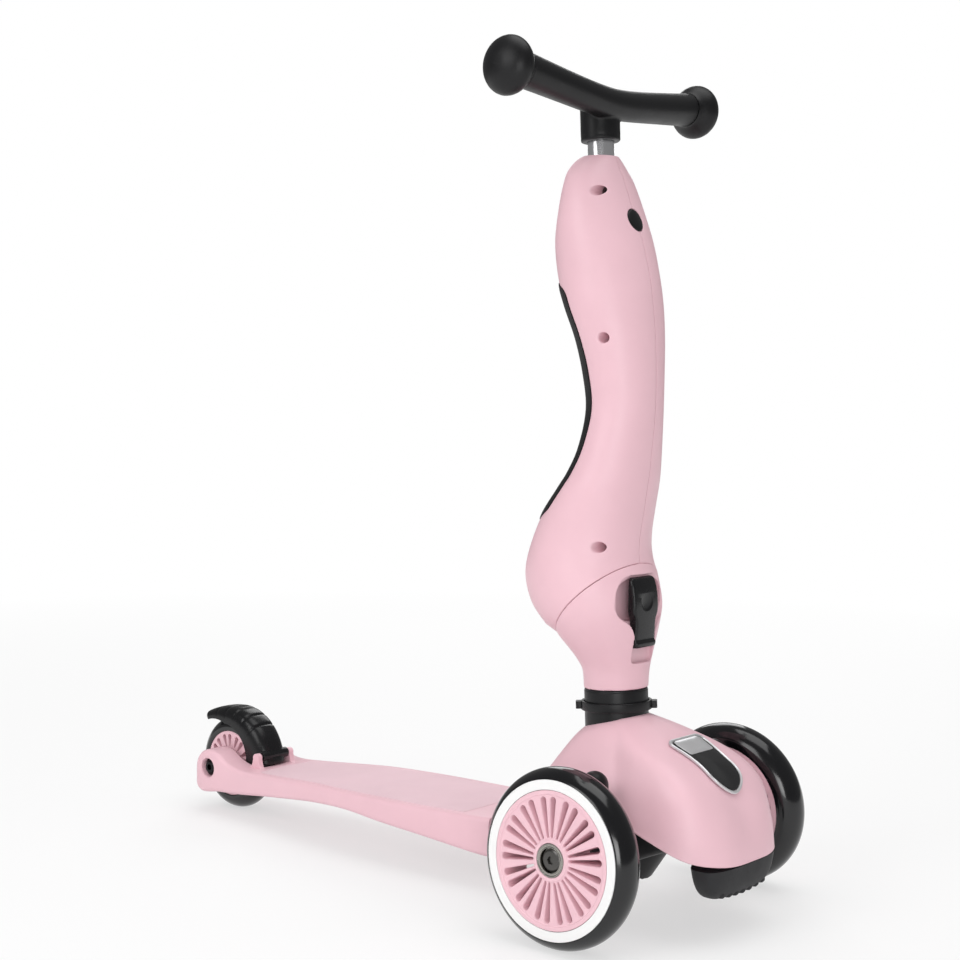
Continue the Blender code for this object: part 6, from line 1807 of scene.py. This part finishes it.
def make_fender():
    rings = [fender_ring(*place) for place in FENDER_TAIL]
    rings += [fender_ring(turn) for turn in FENDER_TURNS]
    rings += [fender_ring(*place) for place in FENDER_TOE]
    arch = loft("heel_fender", rings)
    barrel = rounded(rod(4.4 * MM, -14.2 * MM, 14.2 * MM), 0.5 * MM)
    join(arch, turned("barrel", barrel, BRAKE_PIN, X, 48))
    notch_r, notch_half = 3.5 * MM, 4.8 * MM
    mouth = block(BRAKE_PIN.y - notch_r, BRAKE_PIN.y + notch_r, BRAKE_PIN.z - 30 * MM, BRAKE_PIN.z)
    cut(arch, turned("notch", rod(notch_r, -notch_half, notch_half), BRAKE_PIN, X, 48),
        side_view("mouth", mouth, notch_half),
        turned("pin_hole", rod(PIN_HOLE_R, -30 * MM, 30 * MM), BRAKE_PIN, X, 32))
    show(arch, "black_plastic", "brake", "brake_fender", finish="gloss_black")


make_fender()

# %% [markdown]
# ## The truck
# Behind the front wheels a black moulding carries both axles. Its arms are lofts, and its pot,
# bosses and towers are turned. Joined, rebuilt from small faces and eased, they get the soft
# inner corners of one moulding, and the bores are cut last so that they stay sharp.

# %% Truck
# Distance out, y of front and back, and height of underside and top, in mm
BRIDGE_STATIONS = (
    (10.0, -22.0, 20.0, 48.0, 74.0), (30.0, -20.0, 18.0, 48.0, 73.0),
    (60.0, -15.0, 14.0, 47.0, 68.0), (86.0, -10.0, 10.0, 50.0, 66.0),
)
TOWER_PLACE = (73.0 * MM, -2.6 * MM)
TOWER_R = 9.5 * MM


def make_bridge():
    """The two arms as one loft, from the right wheel to the left one."""
    rows = smooth_rows(BRIDGE_STATIONS)
    rings = []
    for sign, order in ((-1, reversed(rows)), (1, rows)):
        for x, front, back, low, high in order:
            outline = rounded(block(front, back, low, high), 4.0, 5)
            rings.append([Vector((sign * x, y, z)) * MM for y, z in outline])
    return loft("front_truck", rings)


def make_truck():
    bridge = make_bridge()
    space = rod(21.9 * MM, 5.7 * MM, LONG)
    cut(bridge, turned("boss_space", space, KINGPIN_FOOT, KINGPIN_UP, 64))
    parts = [turned("pot", rod(19 * MM, -30 * MM, 6 * MM), KINGPIN_FOOT, KINGPIN_UP, 64)]
    bores = [turned("pocket", rod(14.5 * MM, -LONG, -6 * MM), KINGPIN_FOOT, KINGPIN_UP, 64),
             turned("kingpin_hole", rod(BOLT_HOLE_R, -LONG, LONG), KINGPIN_FOOT, KINGPIN_UP, 48)]
    end = INNER_DEPTH - FACE - GAP
    head = FACE - BEARING_DEPTH - CUP + GAP
    boss = [(0.0, end - 30 * MM), (13 * MM, end - 30 * MM), (13 * MM, end - 2.2 * MM),
            (6.5 * MM, end - 2.2 * MM), (6.5 * MM, end), (0.0, end)]
    tower = [(0.0, 60 * MM), (TOWER_R, 60 * MM), *arc((0.0, 103.5 * MM), TOWER_R, 0, 84, 12),
             (0.0, 113 * MM)]
    for sign, _ in SIDES:
        centre, out = front_axle(sign)
        place = Vector((sign * TOWER_PLACE[0], TOWER_PLACE[1], 0.0))
        parts.append(turned("boss", boss, centre, out, 64))
        parts.append(turned("tower", tower, place, Z, 64))
        bores.append(turned("bolt_hole", rod(BOLT_HOLE_R, head - 40.3 * MM, LONG), centre, out, 32))
    join(bridge, *parts)
    remeshed(bridge, 1.1 * MM, 3)
    cut(bridge, *bores)
    show(bridge, "black_plastic", "truck", "truck_bridge")


make_truck()

# %% [markdown]
# ## Floor, backdrop and light
# The photograph has a white ground that keeps a soft shadow, and a white sky. The floor is a pale
# matt plane that shines a little for the camera, more so further away, so that it runs into the
# white world without a line. The lamps stay gentle: a large one at the picture's left, a low and
# narrow one on the hood, one behind and one above, so that a colour renders about as written.

# %% Floor and light
FLOOR_HALF = 4.0
WHITE = (1.0, 1.0, 1.0, 1.0)
FLOOR_GREY = (0.88, 0.88, 0.88, 1.0)
# The floor's own share of white under the scooter; it grows to all white further away
FLOOR_SHINE = 0.56
bpy.context.scene.view_settings.view_transform = "Standard"


def seen_by(start, *kinds):
    """1 where a ray of one of these kinds meets the surface, else 0."""
    rays = [start.node("ShaderNodeLightPath", output=f"Is {kind} Ray") for kind in kinds]
    return sum(rays[1:], rays[0])


def add_floor():
    mesh = bpy.data.meshes.new("floor")
    corners = block(-FLOOR_HALF, FLOOR_HALF, -FLOOR_HALF, FLOOR_HALF)
    mesh.from_pydata([(x, y, 0.0) for x, y in corners], [], [(0, 1, 2, 3)])
    floor = placed("floor", mesh)
    material, start = new_material("pale_floor")
    place = start.node("ShaderNodeTexCoord", output="Object")
    reach = start.node("ShaderNodeVectorMath", {"operation": "LENGTH"}, {0: place}, "Value")
    far = ramp(start, reach / FLOOR_HALF, ((0.1, 0.0), (0.45, 1.0)))
    share = seen_by(start, "Camera", "Glossy", "Transmission") * (
        FLOOR_SHINE + far * (1.0 - FLOOR_SHINE))
    matt = start.node("ShaderNodeBsdfPrincipled", (), {"Base Color": FLOOR_GREY, "Roughness": 0.8})
    white = start.node("ShaderNodeEmission", (), {"Color": WHITE, "Strength": 1.0})
    finish_with(start, start.node("ShaderNodeMixShader", (), {0: share, 1: matt, 2: white}))
    mesh.materials.append(material)


def add_world(dim, mirrored):
    """White to the camera, but dimmer as a light and dimmer still in reflections."""
    world = bpy.data.worlds.new("white_world")
    world.use_nodes = True
    world.node_tree.nodes.clear()
    start = Channel(world.node_tree)
    plain, soft, bright = (
        start.node("ShaderNodeBackground", (), {"Color": WHITE, "Strength": strength})
        for strength in (dim, mirrored, 1.0))
    mixed = start.node("ShaderNodeMixShader", (), {0: seen_by(start, "Glossy"), 1: plain, 2: soft})
    mixed = start.node("ShaderNodeMixShader", (), {
        0: seen_by(start, "Camera", "Transmission"), 1: mixed, 2: bright})
    output = world.node_tree.nodes.new("ShaderNodeOutputWorld")
    world.node_tree.links.new(mixed.socket, output.inputs["Surface"])
    bpy.context.scene.world = world


def add_lamp(name, place, aim, size, power, spread=180.0):
    """A square lamp aimed at a point; spread is how wide its light opens, in degrees."""
    lamp = placed(name, bpy.data.lights.new(name, "AREA"))
    lamp.data.shape = "SQUARE"
    lamp.data.size = size
    lamp.data.energy = power
    lamp.data.spread = math.radians(spread)
    direction = Vector(aim) - Vector(place)
    turn = direction.to_track_quat("-Z", "Y").to_matrix().to_4x4()
    lamp.matrix_world = Matrix.Translation(place) @ turn
    print(name, power, "W,", size, "m across")


add_floor()
add_world(0.62, 0.22)
add_lamp("left_lamp", (-1.9, 0.15, 1.2), (0.0, 0.0, 0.3), 1.1, 12.5)
add_lamp("front_lamp", (-1.45, -1.3, 0.4), (0.0, -0.1, 0.06), 0.7, 1.0, 60.0)
add_lamp("back_lamp", (1.4, 0.9, 1.1), (0.0, 0.0, 0.3), 0.9, 6.0)
add_lamp("top_lamp", (0.1, -0.3, 2.0), (0.0, 0.0, 0.0), 1.4, 12.0)

# %% [markdown]
# ## The end
